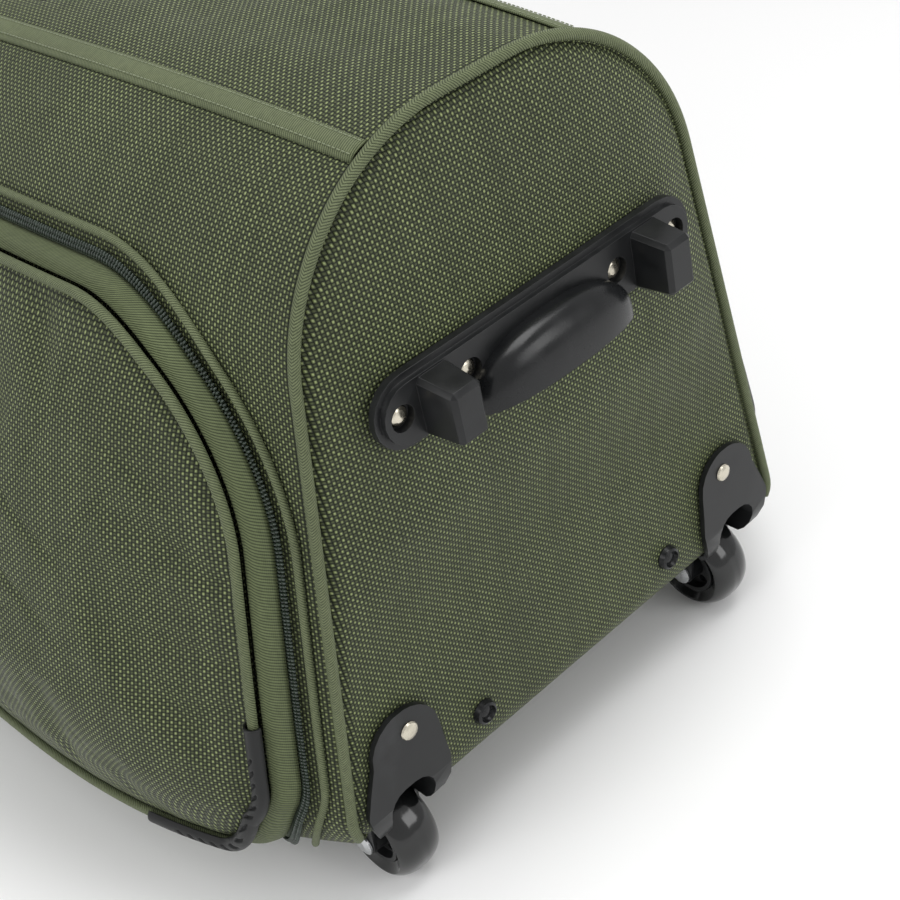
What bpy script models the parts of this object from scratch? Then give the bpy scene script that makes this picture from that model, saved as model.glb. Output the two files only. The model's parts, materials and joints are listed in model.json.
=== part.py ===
"""Rolling travel duffel lying on its back, as an assembly of separate pieces.

Metres, +Z up.  +X points to the wheel end, -Y to the near long side, and Z = 0 is the
surface that the wheels and the two rear feet stand on.
"""
import math

import bmesh
import bpy
from mathutils import Matrix, Vector

# ---------------------------------------------------------------- driving dimensions
WHEEL_END_X = 0.341        # seam plane of the wheel-end panel
HANDLE_END_X = -0.339      # seam plane of the handle-end panel
BACK_Z = 0.049             # outer face of the back panel, which lies downwards
EDGE_Z = 0.069             # height where the side walls are HALF_BASE from the middle
TOP_Z = 0.418              # crown of the end outline
HALF_BASE = 0.170
LEAN = 0.16                # inward lean of the side walls, per metre of height
CORNER_R = 0.030           # rounding between the back and the side walls
DOME_R = 0.110             # rounding between the side walls and the top
EDGE_R = 0.028             # rounding between the back and the end panels
LOW_SWELL = 0.055          # how far the filled bag swells along its lower edges
HIGH_SWELL = 0.012         # the same at its crown
PANEL_SWELL = 0.011        # how far an end panel swells past its seam
FLAT_BELOW_Z = 0.158       # below this the end panels are held flat by the base
FABRIC_T = 0.0030          # padded outer fabric with its lining
GAP = 0.0004               # between pieces that touch
SEAM_GAP = 0.0008          # between panels that are sewn to each other
PIPING_R = 0.0027
SEAM_INSET = 0.0045        # a panel's edge from the middle of its piping
TAPE_Y = 0.065             # middle of a binding tape, at the end seam
TAPE_W = 0.012
TAPE_T = 0.0014

WHEEL_R = 0.030
WHEEL_HALF_W = 0.0143
WHEEL_X = WHEEL_END_X - 0.0295
WHEEL_Y = 0.133
WELL_HALF_W = 0.0154       # inside of the wheel well, across
WELL_TOP_Z = 0.083
WELL_BACK_X = WHEEL_X - 0.0345
WELL_WALL = 0.0022
PLATE_X = WHEEL_END_X + 0.0012
PLATE_T = 0.0032
AXLE_R = 0.0040
RIVET_CROWN_Y = WHEEL_Y - 0.0080
RIVET_CROWN_Z = 0.1170

BAR_X = WHEEL_END_X + PANEL_SWELL + 0.0006
BAR_Z = 0.2975
BAR_HALF_L = 0.1065
BAR_HALF_H = 0.0190
BAR_RIM_T = 0.0042
BAR_T = 0.0075
FOOT_OUT = 0.0225          # how far the two feet stand out of the bar
RIVET_Y = (-0.0925, -0.0500, 0.0500, 0.0925)

RAIL_Y = 0.078             # middle of a skid rail and of its trolley tubes
RAIL_HALF_W = 0.0165
RAIL_BOTTOM_Z = 0.012
RAIL_TOP_Z = BACK_Z - 0.0045
RAIL_WALL = 0.0025
RAIL_FRONT_X = 0.241
TUBE_Z = 0.0290
TUBE_WALL = 0.0014
OUTER_TUBE = (0.0120, 0.0085, 0.206)    # half width, half height, front end
INNER_TUBE = (0.0100, 0.0065, 0.171)

POCKET_FRONT_X = WHEEL_END_X - 0.024
POCKET_REAR_X = HANDLE_END_X + 0.024
POCKET_TOP_Z = 0.350
POCKET_TOP_R = 0.115
POCKET_LOW_R = 0.045
GUSSET_IN = 0.010          # how far the pocket's piping lies inside its zip
GUSSET_OUT = 0.014         # how far it stands off the side wall
POCKET_SWELL = 0.028
COIL_R = 0.0016

FLAP_FRONT_X = 0.076
FLAP_REAR_X = -0.294
FLAP_HALF_W = 0.046
FLAP_CORNER_R = 0.030
SLIDER_X = (WHEEL_END_X + HANDLE_END_X) / 2

FINISHES = {
    "fabric": ((0.085, 0.105, 0.050), 0.85, 0.0),
    "trim": ((0.120, 0.150, 0.075), 0.75, 0.0),
    "lining": ((0.020, 0.022, 0.018), 0.90, 0.0),
    "board": ((0.060, 0.050, 0.040), 0.80, 0.0),
    "plastic": ((0.016, 0.017, 0.018), 0.42, 0.0),
    "rubber": ((0.012, 0.013, 0.013), 0.60, 0.0),
    "tyre": ((0.010, 0.011, 0.011), 0.22, 0.0),
    "coil": ((0.010, 0.014, 0.010), 0.25, 0.0),
    "nickel": ((0.62, 0.58, 0.48), 0.28, 1.0),
    "steel": ((0.60, 0.61, 0.62), 0.30, 1.0),
    "aluminium": ((0.68, 0.69, 0.70), 0.35, 1.0),
}

for old in list(bpy.data.objects):
    bpy.data.objects.remove(old)

parts = bpy.data.collections.new("rolling_duffel")
cutters = bpy.data.collections.new("cutters")
bpy.context.scene.collection.children.link(parts)
bpy.context.scene.collection.children.link(cutters)


# ---------------------------------------------------------------- building helpers
def finish(ob, kind, smooth_angle=35):
    """Give a piece its own material and shading, and keep it in the part's collection."""
    color, roughness, metallic = FINISHES[kind]
    material = bpy.data.materials.new(ob.name + "_" + kind)
    material.use_nodes = True
    shader = material.node_tree.nodes["Principled BSDF"]
    shader.inputs["Base Color"].default_value = (*color, 1.0)
    shader.inputs["Roughness"].default_value = roughness
    shader.inputs["Metallic"].default_value = metallic
    ob.data.materials.clear()
    ob.data.materials.append(material)
    if ob.type == "MESH":
        ob.data.shade_smooth()
        ob.data.set_sharp_from_angle(angle=math.radians(smooth_angle))
    return ob


def place(ob, location=(0, 0, 0), rotation=(0, 0, 0)):
    ob.location = location
    ob.rotation_euler = rotation
    return ob


def new_object(name, data, collection=parts):
    ob = bpy.data.objects.new(name, data)
    collection.objects.link(ob)
    return ob


def mesh_object(name, verts, faces, collection=parts):
    mesh = bpy.data.meshes.new(name)
    mesh.from_pydata([tuple(v) for v in verts], [], faces)
    mesh.update()
    return new_object(name, mesh, collection)


def realise(ob, collection=parts, weld=0.00001):
    """Turn a curve, or an object with modifiers, into a plain welded mesh object."""
    name = ob.name
    evaluated = ob.evaluated_get(bpy.context.evaluated_depsgraph_get())
    mesh = bpy.data.meshes.new_from_object(evaluated)
    matrix = ob.matrix_world.copy()
    bpy.data.objects.remove(ob)
    bm = bmesh.new()
    bm.from_mesh(mesh)
    bmesh.ops.remove_doubles(bm, verts=bm.verts, dist=weld)
    bmesh.ops.recalc_face_normals(bm, faces=bm.faces)
    bm.to_mesh(mesh)
    bm.free()
    plain = new_object(name, mesh, collection)
    plain.name = name
    plain.matrix_world = matrix
    return plain


def thicken(ob, thickness, offset=-1.0):
    solid = ob.modifiers.new("thickness", "SOLIDIFY")
    solid.thickness = thickness
    solid.offset = offset
    solid.use_even_offset = False
    return ob


def round_edges(ob, width, segments=2, angle=40):
    bevel = ob.modifiers.new("round", "BEVEL")
    bevel.width = width
    bevel.segments = segments
    bevel.limit_method = "ANGLE"
    bevel.angle_limit = math.radians(angle)
    return ob


def boolean(ob, tool, operation="DIFFERENCE", solver="EXACT"):
    tool.hide_render = True
    tool.display_type = "WIRE"
    modifier = ob.modifiers.new(operation.lower(), "BOOLEAN")
    modifier.operation = operation
    modifier.solver = solver
    modifier.object = tool
    return ob


def as_cutter(ob):
    for owner in list(ob.users_collection):
        owner.objects.unlink(ob)
    cutters.objects.link(ob)
    ob.hide_render = True
    ob.display_type = "WIRE"
    return ob


def box(name, low, high, collection=parts):
    bpy.ops.mesh.primitive_cube_add(size=1)
    ob = bpy.context.object
    ob.name = name
    size = [b - a for a, b in zip(low, high)]
    centre = [(a + b) / 2 for a, b in zip(low, high)]
    ob.data.transform(Matrix.Diagonal((*size, 1)))
    ob.location = centre
    for owner in list(ob.users_collection):
        owner.objects.unlink(ob)
    collection.objects.link(ob)
    return ob


def cylinder(name, radius, depth, location, axis="X", sides=24, collection=parts):
    bm = bmesh.new()
    bmesh.ops.create_cone(bm, cap_ends=True, segments=sides, radius1=radius, radius2=radius, depth=depth)
    turn = {"X": Matrix.Rotation(math.pi / 2, 4, "Y"), "Y": Matrix.Rotation(-math.pi / 2, 4, "X")}
    bmesh.ops.transform(bm, matrix=turn[axis], verts=bm.verts)
    mesh = bpy.data.meshes.new(name)
    bm.to_mesh(mesh)
    bm.free()
    return place(new_object(name, mesh, collection), location)


def turned(name, profile, location=(0, 0, 0), rotation=(0, 0, 0), steps=32, closed=False):
    """A profile of (radius, height) points turned about local Z, outer side top to bottom."""
    verts = [(r, 0, h) for r, h in profile]
    edges = [(i, i + 1) for i in range(len(verts) - 1)]
    if closed:
        edges.append((len(verts) - 1, 0))
    mesh = bpy.data.meshes.new(name)
    mesh.from_pydata(verts, edges, [])
    ob = new_object(name, mesh)
    screw = ob.modifiers.new("turn", "SCREW")
    screw.steps = steps
    screw.render_steps = steps
    screw.use_merge_vertices = True
    screw.merge_threshold = 0.00002
    place(ob, location, rotation)
    bpy.context.view_layer.update()
    return realise(ob)


def plate(name, outlines, half_depth, matrix, collection=parts):
    """A flat piece: closed 2D outlines, holes included, filled and given a thickness.

    The curve is drawn in millimetres, because the filling loses small holes in metres.
    """
    mm = 1000.0
    curve = bpy.data.curves.new(name, "CURVE")
    curve.dimensions = "2D"
    curve.fill_mode = "BOTH"
    curve.extrude = half_depth * mm
    for loop in outlines:
        spline = curve.splines.new("POLY")
        spline.points.add(len(loop) - 1)
        for point, (a, b) in zip(spline.points, loop):
            point.co = (a * mm, b * mm, 0, 1)
        spline.use_cyclic_u = True
    ob = new_object(name, curve, collection)
    bpy.context.view_layer.update()
    flat = realise(ob, collection, weld=0.001)
    flat.data.transform(Matrix.Scale(1 / mm, 4))
    flat.matrix_world = matrix
    bpy.context.view_layer.update()
    return flat


def cord(name, points, radius, closed=False, resolution=1):
    """A round cord through the points, as a swept curve with closed ends."""
    curve = bpy.data.curves.new(name, "CURVE")
    curve.dimensions = "3D"
    curve.bevel_depth = radius
    curve.bevel_resolution = resolution
    curve.use_fill_caps = not closed
    spline = curve.splines.new("POLY")
    spline.points.add(len(points) - 1)
    for point, co in zip(spline.points, points):
        point.co = (*co, 1)
    spline.use_cyclic_u = closed
    ob = new_object(name, curve)
    bpy.context.view_layer.update()
    return realise(ob)


def sheet(name, rows, outward, thickness=FABRIC_T, wrap=False):
    """A sewn panel: a surface through rows of points, thickened on its inner side."""
    count = len(rows[0])
    verts = [p for row in rows for p in row]
    faces = []
    last = count if wrap else count - 1
    for r in range(len(rows) - 1):
        for c in range(last):
            a = r * count + c
            b = r * count + (c + 1) % count
            faces.append((a, b, b + count, a + count))
    ob = mesh_object(name, verts, faces)
    centre_face = ob.data.polygons[len(faces) // 2]
    if centre_face.normal.dot(Vector(outward)) < 0:
        ob.data.flip_normals()
    return thicken(ob, thickness)


def close_centre(ob, count, middle, outward):
    """Fill the innermost ring of a sheet made of rings, with a fan round its middle point."""
    bm = bmesh.new()
    bm.from_mesh(ob.data)
    bm.verts.ensure_lookup_table()
    ring = bm.verts[-count:]
    tip = bm.verts.new(middle)
    for i in range(count):
        face = bm.faces.new((ring[i], ring[(i + 1) % count], tip))
        face.normal_update()
        if face.normal.dot(Vector(outward)) < 0:
            face.normal_flip()
    bm.to_mesh(ob.data)
    bm.free()
    return ob


def arc(cx, cy, radius, start, end, steps):
    """Points of an arc, angles in degrees, both ends included."""
    out = []
    for i in range(steps + 1):
        a = math.radians(start + (end - start) * i / steps)
        out.append((cx + radius * math.cos(a), cy + radius * math.sin(a)))
    return out


def stadium(half_l, half_h, cy=0.0, cz=0.0, steps=10):
    right = arc(cy + half_l - half_h, cz, half_h, -90, 90, steps)
    left = arc(cy - half_l + half_h, cz, half_h, 90, 270, steps)
    return right + left


def union(name, pieces, solver="EXACT"):
    """Join closed, overlapping pieces into one body."""
    base = pieces[0]
    base.name = name
    for tool in pieces[1:]:
        boolean(base, as_cutter(tool), "UNION", solver)
    bpy.context.view_layer.update()
    merged = realise(base)
    for tool in pieces[1:]:
        bpy.data.objects.remove(tool)
    return merged


# ---------------------------------------------------------------- shape of the bag
LEAN_A = math.atan(LEAN)
CORNER_Y = HALF_BASE - LEAN * (BACK_Z + CORNER_R - EDGE_Z) - CORNER_R / math.cos(LEAN_A)
DOME_Y = HALF_BASE - LEAN * (TOP_Z - DOME_R - EDGE_Z) - DOME_R / math.cos(LEAN_A)
LEN_BACK = CORNER_Y
LEN_CORNER = CORNER_R * (math.pi / 2 + LEAN_A)
SIDE_START = Vector((CORNER_Y + CORNER_R * math.cos(LEAN_A), BACK_Z + CORNER_R + CORNER_R * math.sin(LEAN_A)))
SIDE_END = Vector((DOME_Y + DOME_R * math.cos(LEAN_A), TOP_Z - DOME_R + DOME_R * math.sin(LEAN_A)))
LEN_SIDE = (SIDE_END - SIDE_START).length
LEN_DOME = DOME_R * (math.pi / 2 - LEAN_A)
LEN_HALF = LEN_BACK + LEN_CORNER + LEN_SIDE + LEN_DOME + DOME_Y


def outline(d):
    """Point and normal angle of the end outline, d metres from the middle of the back."""
    if d <= LEN_BACK:
        return d, BACK_Z, -math.pi / 2
    d -= LEN_BACK
    if d <= LEN_CORNER:
        a = -math.pi / 2 + d / CORNER_R
        return CORNER_Y + CORNER_R * math.cos(a), BACK_Z + CORNER_R + CORNER_R * math.sin(a), a
    d -= LEN_CORNER
    if d <= LEN_SIDE:
        p = SIDE_START.lerp(SIDE_END, d / LEN_SIDE)
        return p.x, p.y, LEAN_A
    d -= LEN_SIDE
    if d <= LEN_DOME:
        a = LEAN_A + d / DOME_R
        return DOME_Y + DOME_R * math.cos(a), TOP_Z - DOME_R + DOME_R * math.sin(a), a
    d -= LEN_DOME
    return DOME_Y - d, TOP_Z, math.pi / 2


def ease(t):
    t = min(1.0, max(0.0, t))
    return t * t * (3 - 2 * t)


def swell_at(x, d):
    """The bag hangs out over its lower edges between the ends, and less towards the crown."""
    middle = (WHEEL_END_X + HANDLE_END_X) / 2
    half = (WHEEL_END_X - HANDLE_END_X) / 2
    along = 1 - min(1.0, abs((x - middle) / half)) ** 3.2
    past_back = (d - LEN_BACK) / LEN_CORNER
    up_side = (d - LEN_BACK - LEN_CORNER * 0.6) / (LEN_SIDE + LEN_CORNER * 0.4 + LEN_DOME * 0.5)
    around = ease(past_back / 0.6) * (LOW_SWELL + (HIGH_SWELL - LOW_SWELL) * ease(up_side))
    return along * around


def skin(x, d, side, lift=0.0):
    """Point on the filled bag's outer face, raised by lift; side is -1 near, +1 far."""
    y, z, a = outline(d)
    out = swell_at(x, d) + lift
    return Vector((x, side * (y + out * math.cos(a)), z + out * math.sin(a)))


def end_inset(z):
    """How far the end panels draw back where they round into the back panel."""
    drop = max(0.0, BACK_Z + EDGE_R - z)
    return EDGE_R - math.sqrt(max(0.0, EDGE_R ** 2 - drop ** 2))


def d_of_y(y):
    """Distance along the outline of the point on the dome that is y from the middle."""
    return LEN_BACK + LEN_CORNER + LEN_SIDE + DOME_R * (math.acos((y - DOME_Y) / DOME_R) - LEAN_A)


def d_of_z(z):
    """Distance along the outline of the side point at height z."""
    if z <= SIDE_END.y:
        return LEN_BACK + LEN_CORNER + (z - SIDE_START.y) / math.cos(LEAN_A)
    return LEN_BACK + LEN_CORNER + LEN_SIDE + DOME_R * (math.asin((z - TOP_Z + DOME_R) / DOME_R) - LEAN_A)


def spread(a, b, count):
    return [a + (b - a) * i / (count - 1) for i in range(count)]


D_SIDE_LOW = LEN_BACK
D_TAPE = d_of_y(TAPE_Y)
NEAR, FAR = -1, 1
SIDE_NAMES = {NEAR: "near", FAR: "far"}


def side_rows(side, d_low, d_high, rows, columns, lift=0.0, trim=0.0065):
    out = []
    for d in spread(d_low, d_high, rows):
        z = outline(d)[1]
        low = HANDLE_END_X + trim + end_inset(z)
        high = WHEEL_END_X - trim - end_inset(z)
        out.append([skin(x, d, side, lift) for x in spread(low, high, columns)])
    return out


# ---------------------------------------------------------------- wheel wells, cut from the fabric
def well_cutter(side, margin, top=WELL_TOP_Z, front=0.06):
    """The space of a wheel well: a box with an arched top, open below and in front."""
    half = WELL_HALF_W + margin
    arch = 0.012
    height = top + margin
    outline_yz = [(-half, -0.02), (half, -0.02)]
    outline_yz += arc(half - arch, height - arch, arch, 0, 90, 4)
    outline_yz += arc(-half + arch, height - arch, arch, 90, 180, 4)
    back = WELL_BACK_X - margin
    front_x = WHEEL_END_X + front
    turn = Matrix(((0, 0, 1, 0), (1, 0, 0, 0), (0, 1, 0, 0), (0, 0, 0, 1)))
    spot = Matrix.Translation(((back + front_x) / 2, side * WHEEL_Y, 0))
    name = "well_cut_" + SIDE_NAMES[side] + "_" + str(round(margin * 10000))
    return plate(name, [outline_yz], (front_x - back) / 2, spot @ turn, cutters)


well_space = {side: well_cutter(side, WELL_WALL + GAP) for side in (NEAR, FAR)}
well_inside = {side: well_cutter(side, 0.0) for side in (NEAR, FAR)}

# ---------------------------------------------------------------- sewn panels
for side in (NEAR, FAR):
    panel = sheet(SIDE_NAMES[side] + "_side_panel",
                  side_rows(side, D_SIDE_LOW + SEAM_GAP, D_TAPE - SEAM_GAP / 2, 14, 9), (0, side, 0))
    boolean(panel, well_space[side])
    finish(panel, "fabric")

back_rows = []
for y in spread(-LEN_BACK + SEAM_GAP / 2, LEN_BACK - SEAM_GAP / 2, 5):
    low = HANDLE_END_X + EDGE_R + SEAM_GAP
    high = WHEEL_END_X - EDGE_R - SEAM_GAP
    back_rows.append([Vector((x, y, BACK_Z)) for x in spread(low, high, 5)])
back_panel = sheet("back_panel", back_rows, (0, 0, -1))
for side in (NEAR, FAR):
    boolean(back_panel, well_space[side])
finish(back_panel, "fabric")

base_board = box("base_board", (HANDLE_END_X + 0.036, -0.128, BACK_Z + FABRIC_T + GAP),
                 (WHEEL_END_X - 0.036, 0.128, BACK_Z + FABRIC_T + 0.004))
for side in (NEAR, FAR):
    boolean(base_board, well_space[side])
finish(base_board, "board")


def panel_outline(inset, steps=8):
    """The end outline, drawn in by inset, round from the far lower corner over the top."""
    stops = [LEN_BACK + LEN_CORNER * k / 3 for k in range(4)]
    stops += [LEN_BACK + LEN_CORNER + LEN_SIDE * k / 3 for k in range(1, 4)]
    stops += [LEN_BACK + LEN_CORNER + LEN_SIDE + LEN_DOME * k / steps for k in range(1, steps + 1)]
    half = []
    for d in stops:
        y, z, a = outline(d)
        half.append((y - inset * math.cos(a), z - inset * math.sin(a)))
    mirrored = [(-y, z) for y, z in reversed(half)]
    return half + mirrored


def end_panel(name, seam_x, direction):
    rim = panel_outline(SEAM_INSET)
    low_z = rim[0][1]
    rim += [(y, low_z) for y in spread(rim[-1][0], rim[0][0], 6)[1:-1]]
    centre = Vector((0.0, 0.225))
    rows = []
    for share in (1.0, 0.92, 0.75, 0.4):
        row = []
        for y, z in rim:
            flat = centre + (Vector((y, z)) - centre) * share
            rise = PANEL_SWELL * (1 - share ** 6) * ease((flat.y - FLAT_BELOW_Z) / 0.08)
            x = seam_x + direction * (rise - end_inset(flat.y) * min(1.0, 2 * share))
            row.append(Vector((x, flat.x, flat.y)))
        rows.append(row)
    ob = sheet(name, rows, (direction, 0, 0), wrap=True)
    return close_centre(ob, len(rim), (seam_x + direction * PANEL_SWELL, *centre), (direction, 0, 0))


wheel_end_panel = end_panel("wheel_end_panel", WHEEL_END_X, 1)
for side in (NEAR, FAR):
    boolean(wheel_end_panel, well_space[side], solver="MANIFOLD")
finish(wheel_end_panel, "fabric")
handle_end_panel = finish(end_panel("handle_end_panel", HANDLE_END_X, -1), "fabric")

for name, seam_x, direction in (("wheel_end_piping", WHEEL_END_X, 1), ("handle_end_piping", HANDLE_END_X, -1)):
    half_path = [outline(d)[:2] for d in spread(LEN_BACK + LEN_CORNER * 0.72, LEN_HALF, 18)]
    path = [(y, z) for y, z in half_path] + [(-y, z) for y, z in reversed(half_path[:-1])]
    points = [Vector((seam_x - direction * (0.0018 + end_inset(z)), y, z)) for y, z in path]
    piping = cord(name, points, PIPING_R)
    if direction > 0:
        for side in (NEAR, FAR):
            boolean(piping, well_space[side])
    finish(piping, "trim")

for side in (NEAR, FAR):
    half_w = TAPE_W / 2
    rows = side_rows(side, D_TAPE - half_w, D_TAPE + half_w, 3, 9, GAP + TAPE_T, 0.0075)
    finish(sheet(SIDE_NAMES[side] + "_binding_tape", rows, (0, 0, 1), TAPE_T), "trim")

# ---------------------------------------------------------------- top panel and its zipped flap
def top_rows(lift=0.0):
    half = [side_rows(side, D_TAPE + SEAM_GAP / 2, LEN_HALF, 5, 9, lift) for side in (NEAR, FAR)]
    return half[0] + [row for row in reversed(half[1][:-1])]


def rounded_rect(x0, x1, y0, y1, radius, steps=6):
    return (arc(x1 - radius, y1 - radius, radius, 0, 90, steps) + arc(x0 + radius, y1 - radius, radius, 90, 180, steps)
            + arc(x0 + radius, y0 + radius, radius, 180, 270, steps) + arc(x1 - radius, y0 + radius, radius, 270, 360, steps))


def flap_prism(name, grow):
    loop = rounded_rect(FLAP_REAR_X - grow, FLAP_FRONT_X + grow, -FLAP_HALF_W - grow, FLAP_HALF_W + grow, FLAP_CORNER_R + grow)
    return plate(name, [loop], 0.05, Matrix.Translation((0, 0, TOP_Z)), cutters)


top_panel = sheet("top_panel", top_rows(), (0, 0, 1))
boolean(top_panel, flap_prism("flap_hole", 0.001))
finish(top_panel, "fabric")
top_flap = sheet("top_flap", top_rows(), (0, 0, 1))
boolean(top_flap, flap_prism("flap_shape", 0.0), "INTERSECT")
finish(top_flap, "fabric")


def zip_loop(grow):
    """The three zipped edges of the top flap, from the near rear corner round to the near front."""
    loop = rounded_rect(FLAP_REAR_X - grow, FLAP_FRONT_X + grow, -FLAP_HALF_W - grow, FLAP_HALF_W + grow, FLAP_CORNER_R + grow)
    steps = 7
    far_front, far_rear = loop[:steps], loop[steps:2 * steps]
    run = [(x, far_front[-1][1]) for x in spread(far_front[-1][0], far_rear[0][0], 9)[1:-1]]
    near_front = (FLAP_FRONT_X + grow, -FLAP_HALF_W + FLAP_CORNER_R)
    near_rear = (FLAP_REAR_X - grow, -FLAP_HALF_W + FLAP_CORNER_R)
    return [near_front] + far_front + run + far_rear + [near_rear]


def top_point(x, y, lift):
    """Point over the top that ends up y from the middle, found by halving."""
    side = 1 if y >= 0 else -1
    low, high = LEN_BACK + LEN_CORNER + LEN_SIDE, LEN_HALF
    for _ in range(24):
        d = (low + high) / 2
        if skin(x, d, 1, lift).y > abs(y):
            low = d
        else:
            high = d
    return skin(x, d, side, lift)


frame_coil = [top_point(x, y, COIL_R + GAP) for x, y in zip_loop(0.0035)]
flap_coil = [top_point(x, y, COIL_R + GAP) for x, y in zip_loop(-0.0030)]
finish(cord("top_zip_frame_coil", frame_coil, COIL_R, resolution=1), "coil")
finish(cord("top_zip_flap_coil", flap_coil, COIL_R, resolution=1), "coil")

# ---------------------------------------------------------------- side pockets
D_POCKET_LOW = LEN_BACK + LEN_CORNER * 0.55
D_POCKET_HIGH = d_of_z(POCKET_TOP_Z)


def pocket_path(inset):
    """Closed (x, d) loop of a pocket's edge, drawn in by inset; starts mid-bottom, goes to the front."""
    x0, x1 = POCKET_REAR_X + inset, POCKET_FRONT_X - inset
    d0, d1 = D_POCKET_LOW + inset, D_POCKET_HIGH - inset
    top_r = POCKET_TOP_R - inset
    low_r = POCKET_LOW_R - inset
    loop = [(x, d0) for x in spread((x0 + x1) / 2, x1 - low_r, 3)[:-1]]
    loop += arc(x1 - low_r, d0 + low_r, low_r, 270, 360, 4)
    loop += [(x1, d) for d in spread(d0 + low_r, d1 - top_r, 4)[1:-1]]
    loop += arc(x1 - top_r, d1 - top_r, top_r, 0, 90, 6)
    loop += [(x, d1) for x in spread(x1 - top_r, x0 + top_r, 5)[1:-1]]
    loop += arc(x0 + top_r, d1 - top_r, top_r, 90, 180, 6)
    loop += [(x0, d) for d in spread(d1 - top_r, d0 + low_r, 4)[1:-1]]
    loop += arc(x0 + low_r, d0 + low_r, low_r, 180, 270, 4)
    loop += [(x, d0) for x in spread(x0 + low_r, (x0 + x1) / 2, 3)[1:-1]]
    return loop


def pocket(side):
    label = SIDE_NAMES[side]
    zip_path = pocket_path(0.0)
    piping_path = pocket_path(GUSSET_IN)
    foot = 0.0022
    gusset_rows = []
    for share in (0.06, 0.9):
        lift = foot + (GUSSET_OUT - foot) * share
        row = [skin(x, d, side, lift) for x, d in pocket_path(GUSSET_IN * share)]
        gusset_rows.append(row)
    gusset = sheet(label + "_pocket_gusset", gusset_rows, (0, side, 0.0), 0.0014, wrap=True)
    finish(gusset, "trim")
    piping_points = [skin(x, d, side, GUSSET_OUT + 0.0012) for x, d in piping_path]
    finish(cord(label + "_pocket_piping", piping_points, 0.0025, closed=True), "trim")

    centre = Vector(((POCKET_FRONT_X + POCKET_REAR_X) / 2, (D_POCKET_LOW + D_POCKET_HIGH) / 2))
    rim = pocket_path(GUSSET_IN + 0.0036)
    rows = []
    for share in (1.0, 0.9, 0.7, 0.4):
        row = []
        for x, d in rim:
            flat = centre + (Vector((x, d)) - centre) * share
            lift = GUSSET_OUT + 0.001 + POCKET_SWELL * (1 - share ** 2.5)
            row.append(skin(flat.x, flat.y, side, lift))
        rows.append(row)
    panel = sheet(label + "_pocket_panel", rows, (0, side, 0), 0.0022, wrap=True)
    middle = skin(centre.x, centre.y, side, GUSSET_OUT + 0.001 + POCKET_SWELL)
    close_centre(panel, len(rim), middle, (0, side, 0))
    finish(panel, "fabric")

    path = pocket_path(-0.0042)
    coil_points = [skin(x, d, side, COIL_R + 2 * GAP + 0.001) for x, d in path[:-6]]
    finish(cord(label + "_pocket_zip_coil", coil_points, COIL_R, resolution=1), "coil")


for side in (NEAR, FAR):
    pocket(side)


# ---------------------------------------------------------------- wheel housings, wheels, axles
def yz_plate(name, outlines, half_depth, x, y=0.0, z=0.0, collection=parts):
    """A flat piece drawn in Y and Z, its thickness along X."""
    turn = Matrix(((0, 0, 1, 0), (1, 0, 0, 0), (0, 1, 0, 0), (0, 0, 0, 1)))
    return plate(name, outlines, half_depth, Matrix.Translation((x, y, z)) @ turn, collection)


def xz_plate(name, outlines, half_depth, x, y=0.0, z=0.0, collection=parts):
    """A flat piece drawn in X and Z, its thickness along Y."""
    turn = Matrix(((1, 0, 0, 0), (0, 0, -1, 0), (0, 1, 0, 0), (0, 0, 0, 1)))
    return plate(name, outlines, half_depth, Matrix.Translation((x, y, z)) @ turn, collection)


def mirrored(points, side):
    """The outline for the near side is the far one flipped, in reversed order."""
    return points if side > 0 else [(-a, b) for a, b in reversed(points)]


def fender_half_width(z):
    """Half width of the housing's face plate at height z: a round crown over two spreading legs."""
    crown_r, crown_z = 0.0225, 0.1095
    if z > crown_z:
        return math.sqrt(crown_r ** 2 - (z - crown_z) ** 2)
    stops = [(0.0480, 0.0185), (0.0600, 0.0230), (0.0700, 0.0272), (0.0820, 0.0288), (crown_z, crown_r)]
    for (z0, w0), (z1, w1) in zip(stops, stops[1:]):
        if z <= z1:
            return w0 + (w1 - w0) * max(0.0, z - z0) / (z1 - z0)
    return crown_r


def fender_rows(side):
    """The face plate: flat on the end panel, bent back below round the bag's rounded edge."""
    bend_r = EDGE_R + PLATE_X + PLATE_T - WHEEL_END_X
    bend_z = BACK_Z + EDGE_R
    places = [(PLATE_X + PLATE_T - bend_r * (1 - math.cos(math.radians(a))), bend_z - bend_r * math.sin(math.radians(a)))
              for a in (58, 44, 30, 15, 0)]
    places += [(PLATE_X + PLATE_T, z) for z in (0.0820, 0.0950, 0.1095, 0.1170, 0.1230, 0.1275, 0.1305, 0.1317)]
    rows = []
    for x, z in places:
        middle = side * (WHEEL_Y - 0.0045 * ease((z - 0.082) / 0.03))
        rows.append([Vector((x, middle + w, z)) for w in spread(-fender_half_width(z), fender_half_width(z), 7)])
    return rows


def edge_space(side):
    """What lies outside the bag's rounded lower edge, to trim a well's side walls to the plate."""
    bend_r = EDGE_R + PLATE_X + PLATE_T - 0.0012 - WHEEL_END_X
    curve = arc(WHEEL_END_X - EDGE_R, BACK_Z + EDGE_R, bend_r, 0, -90, 8)
    section = [(WHEEL_END_X + 0.05, BACK_Z + EDGE_R)] + curve + [(WHEEL_END_X - EDGE_R, 0.0), (WHEEL_END_X + 0.05, 0.0)]
    return xz_plate("edge_space_" + SIDE_NAMES[side], [section], 0.05, 0, side * WHEEL_Y, collection=cutters)


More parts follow.
